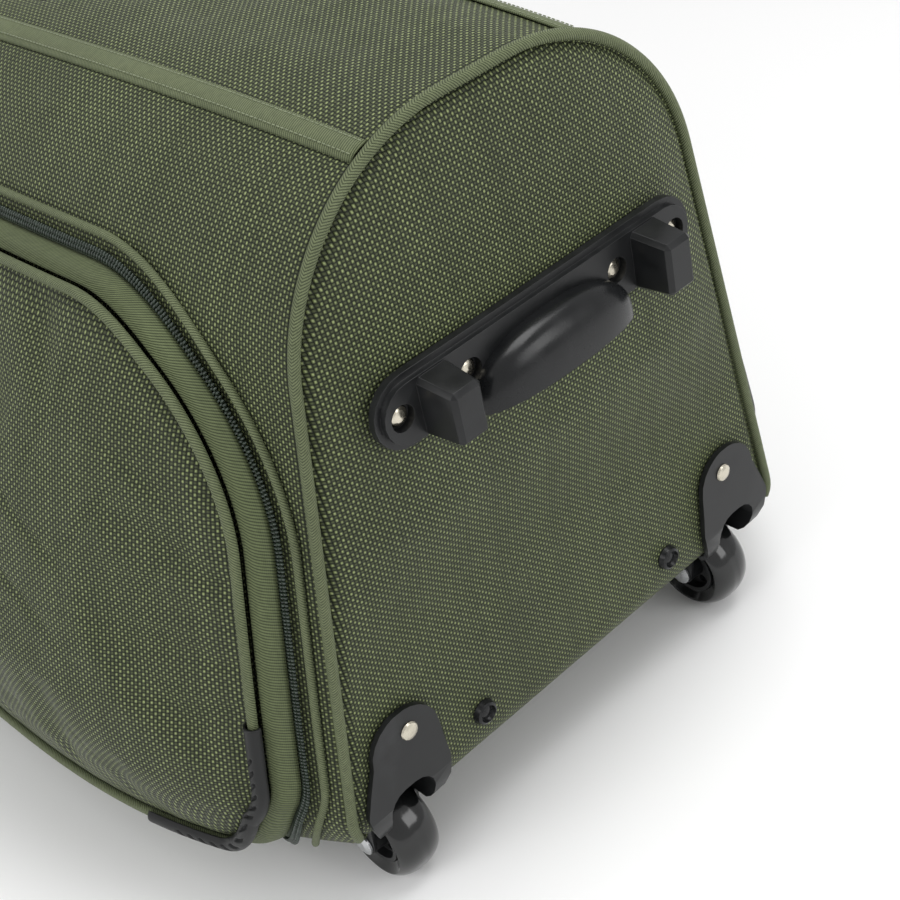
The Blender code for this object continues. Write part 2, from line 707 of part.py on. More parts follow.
def housing(side):
    """Moulded wheel housing: a face plate, the well behind it and an arm each side of the wheel."""
    label = SIDE_NAMES[side]
    front = sheet(label + "_wheel_housing", fender_rows(side), (1, 0, 0), PLATE_T)
    bpy.context.view_layer.update()
    front = realise(front)
    well = well_cutter(side, WELL_WALL, front=0.0022)
    boolean(well, edge_space(side))
    bpy.context.view_layer.update()
    well = realise(well)
    arms = []
    for across in (-1, 1):
        half_t = WELL_WALL / 2
        y = side * WHEEL_Y + across * (WELL_HALF_W + half_t)
        low = arc(WHEEL_X, WHEEL_R, 0.0080, 180, 360, 8)
        shape = low + [(WHEEL_X + 0.0110, 0.056), (WHEEL_X - 0.0140, 0.056)]
        arms.append(xz_plate("arm", [shape], half_t, 0, y))
    solid = union(label + "_wheel_housing", [front, well], "MANIFOLD")
    boolean(solid, well_inside[side], solver="MANIFOLD")
    floor_low = (WELL_BACK_X - 0.02, side * WHEEL_Y - 0.06, -0.05)
    floor_high = (WHEEL_END_X + 0.05, side * WHEEL_Y + 0.06, 0.0505)
    boolean(solid, box("well_floor_" + label, floor_low, floor_high, cutters), solver="MANIFOLD")
    bpy.context.view_layer.update()
    solid = realise(solid)
    joined = union(label + "_wheel_housing", [solid] + arms, "MANIFOLD")
    axle = cylinder("axle_hole_" + label, AXLE_R + 0.0003, 0.08, (WHEEL_X, side * WHEEL_Y, WHEEL_R), "Y", 16, cutters)
    boolean(joined, axle, solver="MANIFOLD")
    rivet_hole = cylinder("rivet_hole_" + label, 0.0033, 0.02,
                          (PLATE_X, side * RIVET_CROWN_Y, RIVET_CROWN_Z), "X", 14, cutters)
    boolean(joined, rivet_hole, solver="MANIFOLD")
    return joined


def wheel(side):
    label = SIDE_NAMES[side]
    spot = (WHEEL_X, side * WHEEL_Y, WHEEL_R)
    turn = (math.pi / 2, 0, 0)
    crown_r = 0.012
    rim_r = 0.0185
    tread = arc(WHEEL_R - crown_r, 0, crown_r, 62, -62, 6)
    shoulder = [(r, h * WHEEL_HALF_W / tread[0][1]) for r, h in tread]
    profile = shoulder + [(rim_r, -0.0105), (rim_r, 0.0105)]
    finish(turned(label + "_wheel_tyre", profile, spot, turn, 28, closed=True), "tyre")
    hub = turned(label + "_wheel_hub", [(rim_r - GAP, 0.0115), (rim_r - GAP, -0.0115), (0.0155, -0.0115), (0.0145, -0.0070),
                                        (0.0085, -0.0070), (0.0075, -0.0148), (AXLE_R + 0.0003, -0.0148),
                                        (AXLE_R + 0.0003, 0.0148), (0.0075, 0.0148), (0.0085, 0.0070),
                                        (0.0145, 0.0070), (0.0155, 0.0115)], spot, turn, 28, closed=True)
    for i in range(5):
        a = math.radians(72 * i + 18)
        spoke_gap = cylinder(label + "_hub_gap_" + str(i), 0.0027, 0.04,
                             (spot[0] + 0.0115 * math.cos(a), spot[1], spot[2] + 0.0115 * math.sin(a)), "Y", 8, cutters)
        boolean(hub, spoke_gap)
    finish(hub, "plastic")
    head = 0.0072
    outer_y = WELL_HALF_W + WELL_WALL + 0.0003
    bolt_profile = [(0.0001, outer_y + 0.003), (0.0040, outer_y + 0.003), (head, outer_y + 0.0016), (head, outer_y),
                    (AXLE_R, outer_y), (AXLE_R, -outer_y), (head, -outer_y), (head, -outer_y - 0.0016),
                    (0.0040, -outer_y - 0.003), (0.0001, -outer_y - 0.003)]
    finish(turned(label + "_axle_bolt", bolt_profile, spot, turn, 14, closed=True), "steel")


for side in (NEAR, FAR):
    finish(housing(side), "plastic")
    wheel(side)


# ---------------------------------------------------------------- rivets, cup washers and their screws
def rivet(name, location, radius=0.0055, height=0.0022, shank=0.0026, depth=0.0030):
    """A domed rivet head with a short shank, its axis along X."""
    dome = [(radius * math.sin(a), height * math.cos(a)) for a in (0.02, 0.6, 1.1, math.pi / 2)]
    profile = dome + [(shank, 0), (shank, -depth), (0.0001, -depth)]
    return turned(name, profile, location, (0, math.pi / 2, 0), 14, closed=True)


for side in (NEAR, FAR):
    spot = (PLATE_X + PLATE_T + 0.0003, side * RIVET_CROWN_Y, RIVET_CROWN_Z)
    finish(rivet(SIDE_NAMES[side] + "_housing_rivet", spot), "nickel")

WASHER_Y = 0.075
WASHER_Z = 0.0865
WASHER_X = WHEEL_END_X + GAP
for side in (NEAR, FAR):
    cup = [(0.0001, 0.0030), (0.0026, 0.0026), (0.0036, 0.0020), (0.0044, 0.0018), (0.0052, 0.0042), (0.0066, 0.0034),
           (0.0076, 0.0006), (0.0076, 0.0), (0.0001, 0.0)]
    spot = (WASHER_X, side * WASHER_Y, WASHER_Z)
    washer = turned(SIDE_NAMES[side] + "_cup_washer", cup, spot, (0, math.pi / 2, 0), 16, closed=True)
    finish(washer, "plastic")


# ---------------------------------------------------------------- foot bar, its rivets and the grab cup
def foot_bar():
    lip = yz_plate("foot_bar", [stadium(BAR_HALF_L, BAR_HALF_H)], BAR_RIM_T / 2, BAR_X + BAR_RIM_T / 2, 0, BAR_Z)
    raised = yz_plate("bar_face", [stadium(BAR_HALF_L - 0.0035, BAR_HALF_H - 0.0035)], BAR_T / 2 - 0.0002,
                      BAR_X + BAR_T / 2 + 0.0002, 0, BAR_Z)
    feet = []
    for side in (NEAR, FAR):
        low = (BAR_X + 0.002, side * 0.0715 - 0.0105, BAR_Z - 0.0175)
        high = (BAR_X + BAR_T + FOOT_OUT, side * 0.0715 + 0.0105, BAR_Z + 0.0150)
        foot = box("foot", low, high)
        bm = bmesh.new()
        bm.from_mesh(foot.data)
        for v in bm.verts:
            if v.co.x > 0:
                v.co.y *= 0.84
                v.co.z = v.co.z * 0.86 - 0.001
        bm.to_mesh(foot.data)
        bm.free()
        round_edges(foot, 0.0022, 1)
        bpy.context.view_layer.update()
        feet.append(realise(foot))
    bar = union("foot_bar", [lip, raised] + feet)
    for y in RIVET_Y:
        boolean(bar, cylinder("bar_hole", 0.0031, 0.04, (BAR_X, y, BAR_Z), "X", 12, cutters))
        boolean(bar, cylinder("bar_pocket", 0.0068, 0.02, (BAR_X + 0.0028 + 0.01, y, BAR_Z), "X", 16, cutters))
    return bar


finish(foot_bar(), "plastic")

strip_x = WHEEL_END_X + 0.0030
strip = yz_plate("foot_bar_rivets", [stadium(0.1010, 0.0070)], 0.0008, strip_x, 0, BAR_Z)
rivets = []
for y in RIVET_Y:
    head_x = BAR_X + 0.0032
    rivets.append(rivet("bar_rivet", (head_x, y, BAR_Z), depth=head_x - strip_x))
finish(union("foot_bar_rivets", [strip] + rivets), "nickel")
for y in RIVET_Y:
    hole = cylinder("panel_hole", 0.0033, 0.06, (WHEEL_END_X, y, BAR_Z), "X", 10, cutters)
    boolean(wheel_end_panel, hole, solver="MANIFOLD")


def grab_cup():
    """A quarter of a full-cornered ellipsoid on the bar, as a shell open downwards for the fingers."""
    bm = bmesh.new()
    bmesh.ops.create_uvsphere(bm, u_segments=24, v_segments=14, radius=1)
    bmesh.ops.transform(bm, matrix=Matrix.Rotation(math.pi / 2, 4, "X"), verts=bm.verts)
    for v in bm.verts:
        v.co = [math.copysign(abs(c) ** 0.82, c) for c in v.co]
    bmesh.ops.transform(bm, matrix=Matrix.Diagonal((0.0180, 0.0525, 0.0310, 1)), verts=bm.verts)
    for normal in ((-1, 0, 0), (0, 0, -1)):
        geometry = bm.verts[:] + bm.edges[:] + bm.faces[:]
        bmesh.ops.bisect_plane(bm, geom=geometry, plane_co=(0, 0, 0), plane_no=normal, clear_outer=True)
    for v in bm.verts:
        v.co.z += v.co.x * 0.18
    mesh = bpy.data.meshes.new("grab_cup")
    bm.to_mesh(mesh)
    bm.free()
    cup = place(new_object("grab_cup", mesh), (BAR_X + BAR_T + GAP, 0, 0.2745))
    return thicken(cup, 0.0026)


finish(grab_cup(), "plastic", 50)


# ---------------------------------------------------------------- skid rails and telescopic trolley handle
def rounded_section(half_y, half_z, radius, cy, cz):
    return rounded_rect(cy - half_y, cy + half_y, cz - half_z, cz + half_z, radius, 3)


def skid_rail(side):
    """A moulded channel under the back: it holds a trolley tube and the bag slides on its ribs."""
    label = SIDE_NAMES[side] + "_skid_rail"
    w, wall, low, top = RAIL_HALF_W, RAIL_WALL, RAIL_BOTTOM_Z, RAIL_TOP_Z
    flange = 0.0060
    ribs = []
    for centre in (-0.010, 0.0, 0.010):
        ribs += [(centre - 0.0022, low + 0.002), (centre - 0.0012, low), (centre + 0.0012, low), (centre + 0.0022, low + 0.002)]
    section = [(-w + 0.002, low + 0.002)] + ribs + [(w - 0.002, low + 0.002), (w, low + 0.004), (w, top - 0.002)]
    section += [(w + flange, top - 0.002), (w + flange, top), (w - wall, top), (w - wall, low + 0.0045)]
    section += [(-w + wall, low + 0.0045), (-w + wall, top), (-w - flange, top), (-w - flange, top - 0.002)]
    section += [(-w, top - 0.002), (-w, low + 0.004)]
    start = HANDLE_END_X + 0.0460
    channel = yz_plate(label, [section], (RAIL_FRONT_X - start) / 2, (RAIL_FRONT_X + start) / 2, side * RAIL_Y)
    bm = bmesh.new()
    front = RAIL_FRONT_X + 0.028
    back = RAIL_FRONT_X - 0.0010
    for y in (-w, w):
        for x, z in ((back, low + 0.0026), (back, top - 0.0003), (front, top - 0.0003), (front - 0.004, top - 0.008)):
            bm.verts.new((x, side * RAIL_Y + y * (0.97 if x == back else 0.8), z))
    bmesh.ops.convex_hull(bm, input=bm.verts[:])
    nose_mesh = bpy.data.meshes.new("rail_nose")
    bm.to_mesh(nose_mesh)
    bm.free()
    return union(label, [channel, new_object("rail_nose", nose_mesh)], "MANIFOLD")


def tube(name, size, side, start):
    half_y, half_z, end = size
    outer = rounded_section(half_y, half_z, 0.0045, 0, 0)
    inner = rounded_section(half_y - TUBE_WALL, half_z - TUBE_WALL, 0.0031, 0, 0)
    return yz_plate(name, [outer, inner], (end - start) / 2, (end + start) / 2, side * RAIL_Y, TUBE_Z)


GRIP_BACK_X = HANDLE_END_X - 0.0140
GRIP_FRONT_X = HANDLE_END_X - 0.0345
for side in (NEAR, FAR):
    finish(skid_rail(side), "plastic")
    finish(tube(SIDE_NAMES[side] + "_outer_tube", OUTER_TUBE, side, HANDLE_END_X + 0.004), "aluminium")
    finish(tube(SIDE_NAMES[side] + "_inner_tube", INNER_TUBE, side, GRIP_BACK_X + 0.0003), "aluminium")


def trolley_bezel():
    """Moulding at the handle end: it carries the tubes, has the two rear feet and nests the grip."""
    x0 = HANDLE_END_X
    wrap = [(x0 + EDGE_R + 0.0292 * math.cos(a), BACK_Z + EDGE_R + 0.0292 * math.sin(a))
            for a in (math.radians(v) for v in (270, 250, 230, 210, 195, 180))]
    section = [(x0 - 0.0310, 0.012), (x0 - 0.0260, 0.006), (x0 + 0.004, 0.004), (x0 + 0.044, 0.004),
               (x0 + 0.0455, 0.008), (x0 + 0.0455, BACK_Z - 0.0012)] + wrap
    section += [(x0 - 0.0012, 0.088), (x0 - 0.0080, 0.092), (x0 - 0.0200, 0.086), (x0 - 0.0290, 0.070)]
    body = xz_plate("trolley_bezel", [section], 0.1180, 0)
    feet = []
    for side in (NEAR, FAR):
        foot = [(x0 - 0.004, 0.0060), (x0 + 0.004, 0.0), (x0 + 0.030, 0.0), (x0 + 0.038, 0.0060)]
        feet.append(xz_plate("rear_foot", [foot], 0.0160, 0, side * 0.0950))
    bezel = union("trolley_bezel", [body] + feet)
    boolean(bezel, box("grip_recess", (x0 - 0.040, -0.0985, 0.0160), (x0 - 0.0130, 0.0985, 0.0425), cutters))
    boolean(bezel, box("finger_scoop", (x0 - 0.040, -0.045, 0.0400), (x0 - 0.0180, 0.045, 0.0600), cutters))
    for side in (NEAR, FAR):
        for half_y, half_z, low, high in ((0.0105, 0.0070, -0.05, 0.0035), (0.0124, 0.0089, 0.0035, 0.06)):
            hole = rounded_section(half_y, half_z, 0.0049, 0, 0)
            cut = yz_plate("tube_hole", [hole], (high - low) / 2, x0 + (high + low) / 2, side * RAIL_Y, TUBE_Z, cutters)
            boolean(bezel, cut)
    hollow_low = (x0 + 0.006, -0.060, -0.01)
    hollow_high = (x0 + 0.0435, 0.060, 0.0440)
    boolean(bezel, box("bezel_hollow", hollow_low, hollow_high, cutters))
    return bezel


finish(trolley_bezel(), "plastic")

grip = box("trolley_grip", (GRIP_FRONT_X, -0.0960, 0.0182), (GRIP_BACK_X, 0.0960, 0.0402))
round_edges(grip, 0.0050, 3)
boolean(grip, box("button_pocket", (GRIP_FRONT_X - 0.01, -0.0200, 0.0222), (GRIP_FRONT_X + 0.0080, 0.0200, 0.0362), cutters))
finish(grip, "rubber")
button = box("grip_button", (GRIP_FRONT_X - 0.0012, -0.0195, 0.0227), (GRIP_FRONT_X + 0.0040, 0.0195, 0.0357))
finish(round_edges(button, 0.0015, 2), "plastic")


# ---------------------------------------------------------------- webbing handles
def webbing_handle(across, up, out, foot_gap):
    """A flat webbing loop: across runs along the handle, up is its width, out is its bow."""
    across, up, out = Vector(across), Vector(up), Vector(out)
    rows = []
    path = [(-0.105, 0.0), (-0.080, 0.0), (-0.066, 0.006), (-0.054, 0.020), (-0.036, 0.027), (0.0, 0.029)]
    path += [(-a, b) for a, b in reversed(path[:-1])]
    for half in (-0.0125, 0.0125):
        rows.append([across * a + up * half + out * (b + foot_gap) for a, b in path])
    return rows


x_face = HANDLE_END_X - PANEL_SWELL
end_rows = [[p + Vector((x_face, 0, 0.235)) for p in row]
            for row in webbing_handle((0, 1, 0), (0, 0, 1), (-1, 0, 0), 0.0036)]
finish(sheet("end_handle", end_rows, (-1, 0, 0), 0.0030), "trim")

# ---------------------------------------------------------------- zip sliders and pullers
def zip_slider(name, seat, tilt):
    """A slider body with its bridge; local X runs along the zip and local Z off the fabric."""
    matrix = Matrix.Translation(seat) @ Matrix.Rotation(tilt, 4, "X")
    body = box("slider_body", (-0.0055, -0.0050, 0.0), (0.0055, 0.0050, 0.0030))
    round_edges(body, 0.0012, 1)
    bpy.context.view_layer.update()
    body = realise(body)
    bridge = [(-0.0040, 0.0025), (-0.0040, 0.0052), (-0.0026, 0.0066), (0.0026, 0.0066), (0.0040, 0.0052), (0.0040, 0.0025)]
    eye = rounded_rect(-0.0027, 0.0027, 0.0031, 0.0057, 0.0008, 2)
    arch = xz_plate("slider_bridge", [bridge], 0.0011, 0)
    slider = union(name + "_slider", [body, arch])
    boolean(slider, xz_plate(name + "_eye", [eye], 0.0030, 0, collection=cutters))
    bpy.context.view_layer.update()
    slider = realise(slider)
    slider.matrix_world = matrix @ slider.matrix_world
    finish(slider, "nickel")
    tab = rounded_rect(-0.0279, 0.0008, -0.0036, 0.0036, 0.0016, 2)
    hole = rounded_rect(-0.0066, -0.0008, -0.0018, 0.0018, 0.0006, 2)
    puller = plate(name + "_puller", [tab, hole], 0.0006, matrix @ Matrix.Translation((0.0012, 0, 0.0044)))
    finish(puller, "nickel")


top_seat = top_point(SLIDER_X, FLAP_HALF_W + 0.0002, 2 * COIL_R + 3 * GAP + 0.0004)
zip_slider("top_zip", top_seat, 0.0)
for side in (NEAR, FAR):
    slider_d = D_POCKET_HIGH + 0.0030
    y, z, angle = outline(slider_d)
    seat = skin(SLIDER_X, slider_d, side, 2 * COIL_R + 3 * GAP + 0.001)
    tilt = side * (angle - math.pi / 2)
    zip_slider(SIDE_NAMES[side] + "_pocket", seat, tilt)


# ---------------------------------------------------------------- moulded guards on the pocket corners
def corner_guard(side, end):
    """A rubber channel pressed over the pocket's piping, round its lower corner."""
    path = pocket_path(GUSSET_IN)
    if end == "rear":
        path = [(POCKET_FRONT_X + POCKET_REAR_X - x, d) for x, d in path]
    run = path[1:9]
    points = [skin(x, d, side, GUSSET_OUT + 0.0012) for x, d in run]
    middle = skin(sum(x for x, d in run) / len(run) - (0.05 if end == "front" else -0.05), 0.36, side, 0.0)
    rows = []
    for angle in (-20, 28, 76, 124):
        row = []
        for i, p in enumerate(points):
            along = (points[min(i + 1, len(points) - 1)] - points[max(i - 1, 0)]).normalized()
            outward = Vector((0, side, 0))
            away = (along.cross(outward)).normalized()
            if away.dot(middle - p) > 0:
                away.negate()
            lift = away.cross(along).normalized()
            if lift.dot(outward) < 0:
                lift.negate()
            a = math.radians(angle)
            row.append(p + (away * math.cos(a) + lift * math.sin(a)) * 0.0046)
        rows.append(row)
    guard = sheet(SIDE_NAMES[side] + "_" + end + "_corner_guard", rows, (0, side, 0), 0.0012)
    return guard


for side in (NEAR, FAR):
    for end in ("front", "rear"):
        finish(corner_guard(side, end), "rubber")


# ---------------------------------------------------------------- joint axes, as parent empties
def joint_axis(name, location, children):
    """An empty on a joint's axis; its children keep their places."""
    empty = bpy.data.objects.new(name, None)
    empty.empty_display_size = 0.03
    empty.location = location
    bpy.context.scene.collection.objects.link(empty)
    bpy.context.view_layer.update()
    for child_name in children:
        child = bpy.data.objects[child_name]
        world = child.matrix_world.copy()
        child.parent = empty
        child.matrix_parent_inverse = empty.matrix_world.inverted()
        child.matrix_world = world


HANDLE_MIDDLE_X = (GRIP_BACK_X + GRIP_FRONT_X) / 2
HANDLE_NODES = ["trolley_grip", "grip_button", "near_inner_tube", "far_inner_tube"]
joint_axis("trolley_handle_axis", (HANDLE_MIDDLE_X, 0, TUBE_Z), HANDLE_NODES)

FLAP_HINGE_Y = -FLAP_HALF_W - 0.0005
flap_hinge = top_point((FLAP_REAR_X + FLAP_FRONT_X) / 2, FLAP_HINGE_Y, 0.0003)
joint_axis("top_flap_axis", flap_hinge, ["top_flap", "top_zip_flap_coil", "top_zip_slider", "top_zip_puller"])

for side in (NEAR, FAR):
    label = SIDE_NAMES[side]
    nodes = ["_pocket_gusset", "_pocket_piping", "_pocket_panel", "_front_corner_guard", "_rear_corner_guard",
             "_pocket_slider", "_pocket_puller"]
    hinge = skin((POCKET_FRONT_X + POCKET_REAR_X) / 2, D_POCKET_LOW, side, 0.0015)
    joint_axis(label + "_pocket_axis", hinge, [label + node for node in nodes])
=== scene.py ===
"""Rolling travel duffel lying on its back: the looks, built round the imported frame.

Metres, +Z up, +X towards the wheel end, -Y the near long side.
"""
import json
import math
from contextlib import contextmanager

import bmesh
import bpy
from mathutils import Matrix, Vector, noise

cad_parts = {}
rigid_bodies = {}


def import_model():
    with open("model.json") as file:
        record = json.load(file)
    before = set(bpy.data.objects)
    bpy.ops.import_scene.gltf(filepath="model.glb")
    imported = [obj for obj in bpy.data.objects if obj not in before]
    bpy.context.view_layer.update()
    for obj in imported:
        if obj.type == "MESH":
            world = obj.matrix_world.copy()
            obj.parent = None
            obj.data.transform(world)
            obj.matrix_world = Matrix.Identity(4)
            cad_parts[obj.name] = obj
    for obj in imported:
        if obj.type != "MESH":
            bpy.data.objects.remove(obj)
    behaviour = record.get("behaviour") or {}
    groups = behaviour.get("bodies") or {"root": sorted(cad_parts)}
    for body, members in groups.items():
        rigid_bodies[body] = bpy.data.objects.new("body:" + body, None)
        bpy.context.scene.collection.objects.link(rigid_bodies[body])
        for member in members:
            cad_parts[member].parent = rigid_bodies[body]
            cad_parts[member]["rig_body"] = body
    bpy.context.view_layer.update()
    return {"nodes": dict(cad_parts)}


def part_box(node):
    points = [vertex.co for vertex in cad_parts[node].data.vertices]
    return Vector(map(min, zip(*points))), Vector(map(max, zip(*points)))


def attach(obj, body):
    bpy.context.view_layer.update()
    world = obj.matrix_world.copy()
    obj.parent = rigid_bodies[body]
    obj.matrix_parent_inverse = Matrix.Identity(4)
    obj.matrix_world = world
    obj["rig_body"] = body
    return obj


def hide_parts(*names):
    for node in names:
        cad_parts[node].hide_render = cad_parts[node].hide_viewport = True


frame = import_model()

# ---------------------------------------------------------------- camera, floor and light
# A long lens looks down on the wheel end from its near side. The floor is white paper,
# and large soft lamps stand over the bag, to its near side and off its wheel end.
camera_data = bpy.data.cameras.new("camera")
camera_data.lens = 64
camera_data.sensor_width = 36
camera = bpy.data.objects.new("camera", camera_data)
bpy.context.scene.collection.objects.link(camera)
view_up = Vector((-0.32666, 0.51333, 0.79359))
view_back = Vector((0.65981, -0.47733, 0.58035))
camera.matrix_world = Matrix((view_up.cross(view_back), view_up, view_back)).transposed().to_4x4()
camera.location = (0.8448, -0.4223, 0.6928)
bpy.context.scene.camera = camera

floor_mesh = bpy.data.meshes.new("floor")
floor_half = 40
floor_corners = [(floor_half * x, floor_half * y, 0) for x, y in ((-1, -1), (1, -1), (1, 1), (-1, 1))]
floor_mesh.from_pydata(floor_corners, [], [(0, 1, 2, 3)])
floor = bpy.data.objects.new("floor", floor_mesh)
bpy.context.scene.collection.objects.link(floor)
paper = bpy.data.materials.new("white_paper")
paper.use_nodes = True
paper.node_tree.nodes["Principled BSDF"].inputs["Base Color"].default_value = (0.92, 0.92, 0.92, 1)
paper.node_tree.nodes["Principled BSDF"].inputs["Roughness"].default_value = 0.9
floor_mesh.materials.append(paper)

world = bpy.data.worlds.new("studio")
world.use_nodes = True
world.node_tree.nodes["Background"].inputs["Color"].default_value = (1.0, 1.0, 1.0, 1)
world.node_tree.nodes["Background"].inputs["Strength"].default_value = 0.72
bpy.context.scene.world = world
bpy.context.scene.view_settings.view_transform = "Standard"


def soft_lamp(name, place, aim, size, power):
    lamp = bpy.data.lights.new(name, "AREA")
    lamp.shape = "SQUARE"
    lamp.size = size
    lamp.energy = power
    ob = bpy.data.objects.new(name, lamp)
    bpy.context.scene.collection.objects.link(ob)
    ob.location = place
    ob.rotation_euler = (Vector(aim) - Vector(place)).to_track_quat("-Z", "Y").to_euler()


soft_lamp("overhead_lamp", (0.5, 0.3, 1.9), (0.1, 0, 0.25), 1.0, 16)
soft_lamp("near_lamp", (0.2, -1.9, 1.3), (0.1, 0, 0.2), 1.0, 12)
soft_lamp("end_lamp", (2.0, 0.6, 1.0), (0.3, 0, 0.2), 0.9, 9)

# ---------------------------------------------------------------- shape of the filled bag
# Every panel is cut to one outline: a flat back, tight lower corners, leaning sides and a
# domed front. The filled bag hangs out over that outline between its two end seams.
wheel_end_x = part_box("wheel_end_piping")[1].x - 0.0009
handle_end_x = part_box("handle_end_piping")[0].x + 0.0009
back_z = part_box("back_panel")[0].z
edge_z = back_z + 0.020
top_z = 0.418
half_base = 0.170
lean = 0.16
corner_r = 0.030
dome_r = 0.110
edge_r = 0.028
low_swell = 0.055
high_swell = 0.012
panel_swell = 0.011
lean_a = math.atan(lean)
corner_y = half_base - lean * (back_z + corner_r - edge_z) - corner_r / math.cos(lean_a)
dome_y = half_base - lean * (top_z - dome_r - edge_z) - dome_r / math.cos(lean_a)
len_corner = corner_r * (math.pi / 2 + lean_a)
side_start = Vector((corner_y + corner_r * math.cos(lean_a), back_z + corner_r * (1 + math.sin(lean_a))))
side_end = Vector((dome_y + dome_r * math.cos(lean_a), top_z - dome_r * (1 - math.sin(lean_a))))
len_side = (side_end - side_start).length
len_dome = dome_r * (math.pi / 2 - lean_a)
d_corner = corner_y
d_side = d_corner + len_corner
d_dome = d_side + len_side
d_crown = d_dome + len_dome
d_middle = d_crown + dome_y
sides = {"near": -1, "far": 1}
ends = {"wheel": 1, "handle": -1}
heart = Vector(((wheel_end_x + handle_end_x) / 2, 0, 0.225))


def ease(t):
    t = min(1.0, max(0.0, t))
    return t * t * (3 - 2 * t)


def spread(a, b, count):
    return [a + (b - a) * i / (count - 1) for i in range(count)]


def outline(d):
    """Point and normal angle of the end outline, d metres from the middle of the back."""
    if d <= d_corner:
        return d, back_z, -math.pi / 2
    if d <= d_side:
        a = -math.pi / 2 + (d - d_corner) / corner_r
        return corner_y + corner_r * math.cos(a), back_z + corner_r + corner_r * math.sin(a), a
    if d <= d_dome:
        p = side_start.lerp(side_end, (d - d_side) / len_side)
        return p.x, p.y, lean_a
    if d <= d_crown:
        a = lean_a + (d - d_dome) / dome_r
        return dome_y + dome_r * math.cos(a), top_z - dome_r + dome_r * math.sin(a), a
    return dome_y - (d - d_crown), top_z, math.pi / 2


def swell_at(x, d):
    half = (wheel_end_x - handle_end_x) / 2
    along = 1 - min(1.0, abs((x - heart.x) / half)) ** 3.2
    up_side = (d - d_corner - len_corner * 0.6) / (len_side + len_corner * 0.4 + len_dome * 0.5)
    around = ease((d - d_corner) / len_corner / 0.6) * (low_swell + (high_swell - low_swell) * ease(up_side))
    return along * around


def outward_at(d, side):
    a = outline(d)[2]
    return Vector((0, side * math.cos(a), math.sin(a)))


def skin(x, d, side, lift=0.0):
    """Point on the filled bag's outer face, raised by lift; side is -1 near, +1 far."""
    y, z, a = outline(d)
    out = swell_at(x, d) + lift
    return Vector((x, side * (y + out * math.cos(a)), z + out * math.sin(a)))


def end_inset(z):
    """How far the end panels draw back where they round into the back panel."""
    drop = max(0.0, back_z + edge_r - z)
    return edge_r - math.sqrt(max(0.0, edge_r ** 2 - drop ** 2))


def d_of_y(y):
    return d_dome + dome_r * (math.acos((y - dome_y) / dome_r) - lean_a)


def ripple(x, d, seed, size=0.07):
    """Slow uneven waves of slack cloth, from -1 to 1."""
    spot = Vector((x / size, d / size, seed))
    return noise.noise(spot) * 0.7 + noise.noise(spot * 2.3) * 0.3


def link(name, mesh):
    ob = bpy.data.objects.new(name, mesh)
    bpy.context.scene.collection.objects.link(ob)
    return ob


def cloth_grid(name, rows, uv_rows, face_out=True):
    """A cut of cloth from rows of points, with its flat place in metres kept as the UV map."""
    count = len(rows[0])
    faces = []
    for r in range(len(rows) - 1):
        for c in range(count - 1):
            a = r * count + c
            faces.append((a, a + 1, a + 1 + count, a + count))
    mesh = bpy.data.meshes.new(name)
    mesh.from_pydata([p for row in rows for p in row], [], faces)
    flat = [uv for row in uv_rows for uv in row]
    layer = mesh.uv_layers.new(name="cut")
    for loop in mesh.loops:
        layer.data[loop.index].uv = flat[loop.vertex_index]
    mesh.update()
    if face_out:
        middle = mesh.polygons[(len(rows) - 1) // 2 * (count - 1) + count // 2]
        if middle.normal.dot(middle.center - heart) < 0:
            mesh.flip_normals()
    mesh.shade_smooth()
    return link(name, mesh)


@contextmanager
def edited(ob):
    """The object's mesh as a bmesh, written back when the block ends."""
    bm = bmesh.new()
    bm.from_mesh(ob.data)
    yield bm
    bm.to_mesh(ob.data)
    bm.free()


def link_bmesh(name, bm):
    mesh = bpy.data.meshes.new(name)
    bm.to_mesh(mesh)
    bm.free()
    return link(name, mesh)


def weld(ob, distance=0.00002, recalculate=False):
    with edited(ob) as bm:
        bmesh.ops.remove_doubles(bm, verts=bm.verts, dist=distance)
        if recalculate:
            bmesh.ops.recalc_face_normals(bm, faces=bm.faces)
    return ob


def made_plain(ob):
    """Take an object's modifiers into its mesh."""
    bpy.context.view_layer.update()
    evaluated = ob.evaluated_get(bpy.context.evaluated_depsgraph_get())
    mesh = bpy.data.meshes.new_from_object(evaluated)
    ob.modifiers.clear()
    ob.data = mesh
    return ob


def give_wall(ob, thickness, lined=True):
    """The cloth's own thickness on its inner side; the inner face takes the second material."""
    wall = ob.modifiers.new("wall", "SOLIDIFY")
    wall.thickness = thickness
    wall.offset = -1
    wall.use_even_offset = False
    wall.material_offset = 1 if lined else 0
    return made_plain(ob)


# ---------------------------------------------------------------- cloth of the panels
# Coarse plain-woven polyester in dark olive: thick flat threads, with a painted highlight where one
# rides over its neighbour and painted shade, nearly black, in the gaps. Inside it has a smooth black lining.
def wire(tree, value, socket):
    if isinstance(value, bpy.types.NodeSocket):
        tree.links.new(value, socket)
    else:
        socket.default_value = value


def math_node(tree, operation, *values):
    node = tree.nodes.new("ShaderNodeMath")
    node.operation = operation
    for socket, value in zip(node.inputs, values):
        wire(tree, value, socket)
    return node.outputs[0]


def mix_color(tree, share, a, b):
    node = tree.nodes.new("ShaderNodeMix")
    node.data_type = "RGBA"
    wire(tree, share, node.inputs["Factor"])
    wire(tree, a, node.inputs[6])
    wire(tree, b, node.inputs[7])
    return node.outputs[2]


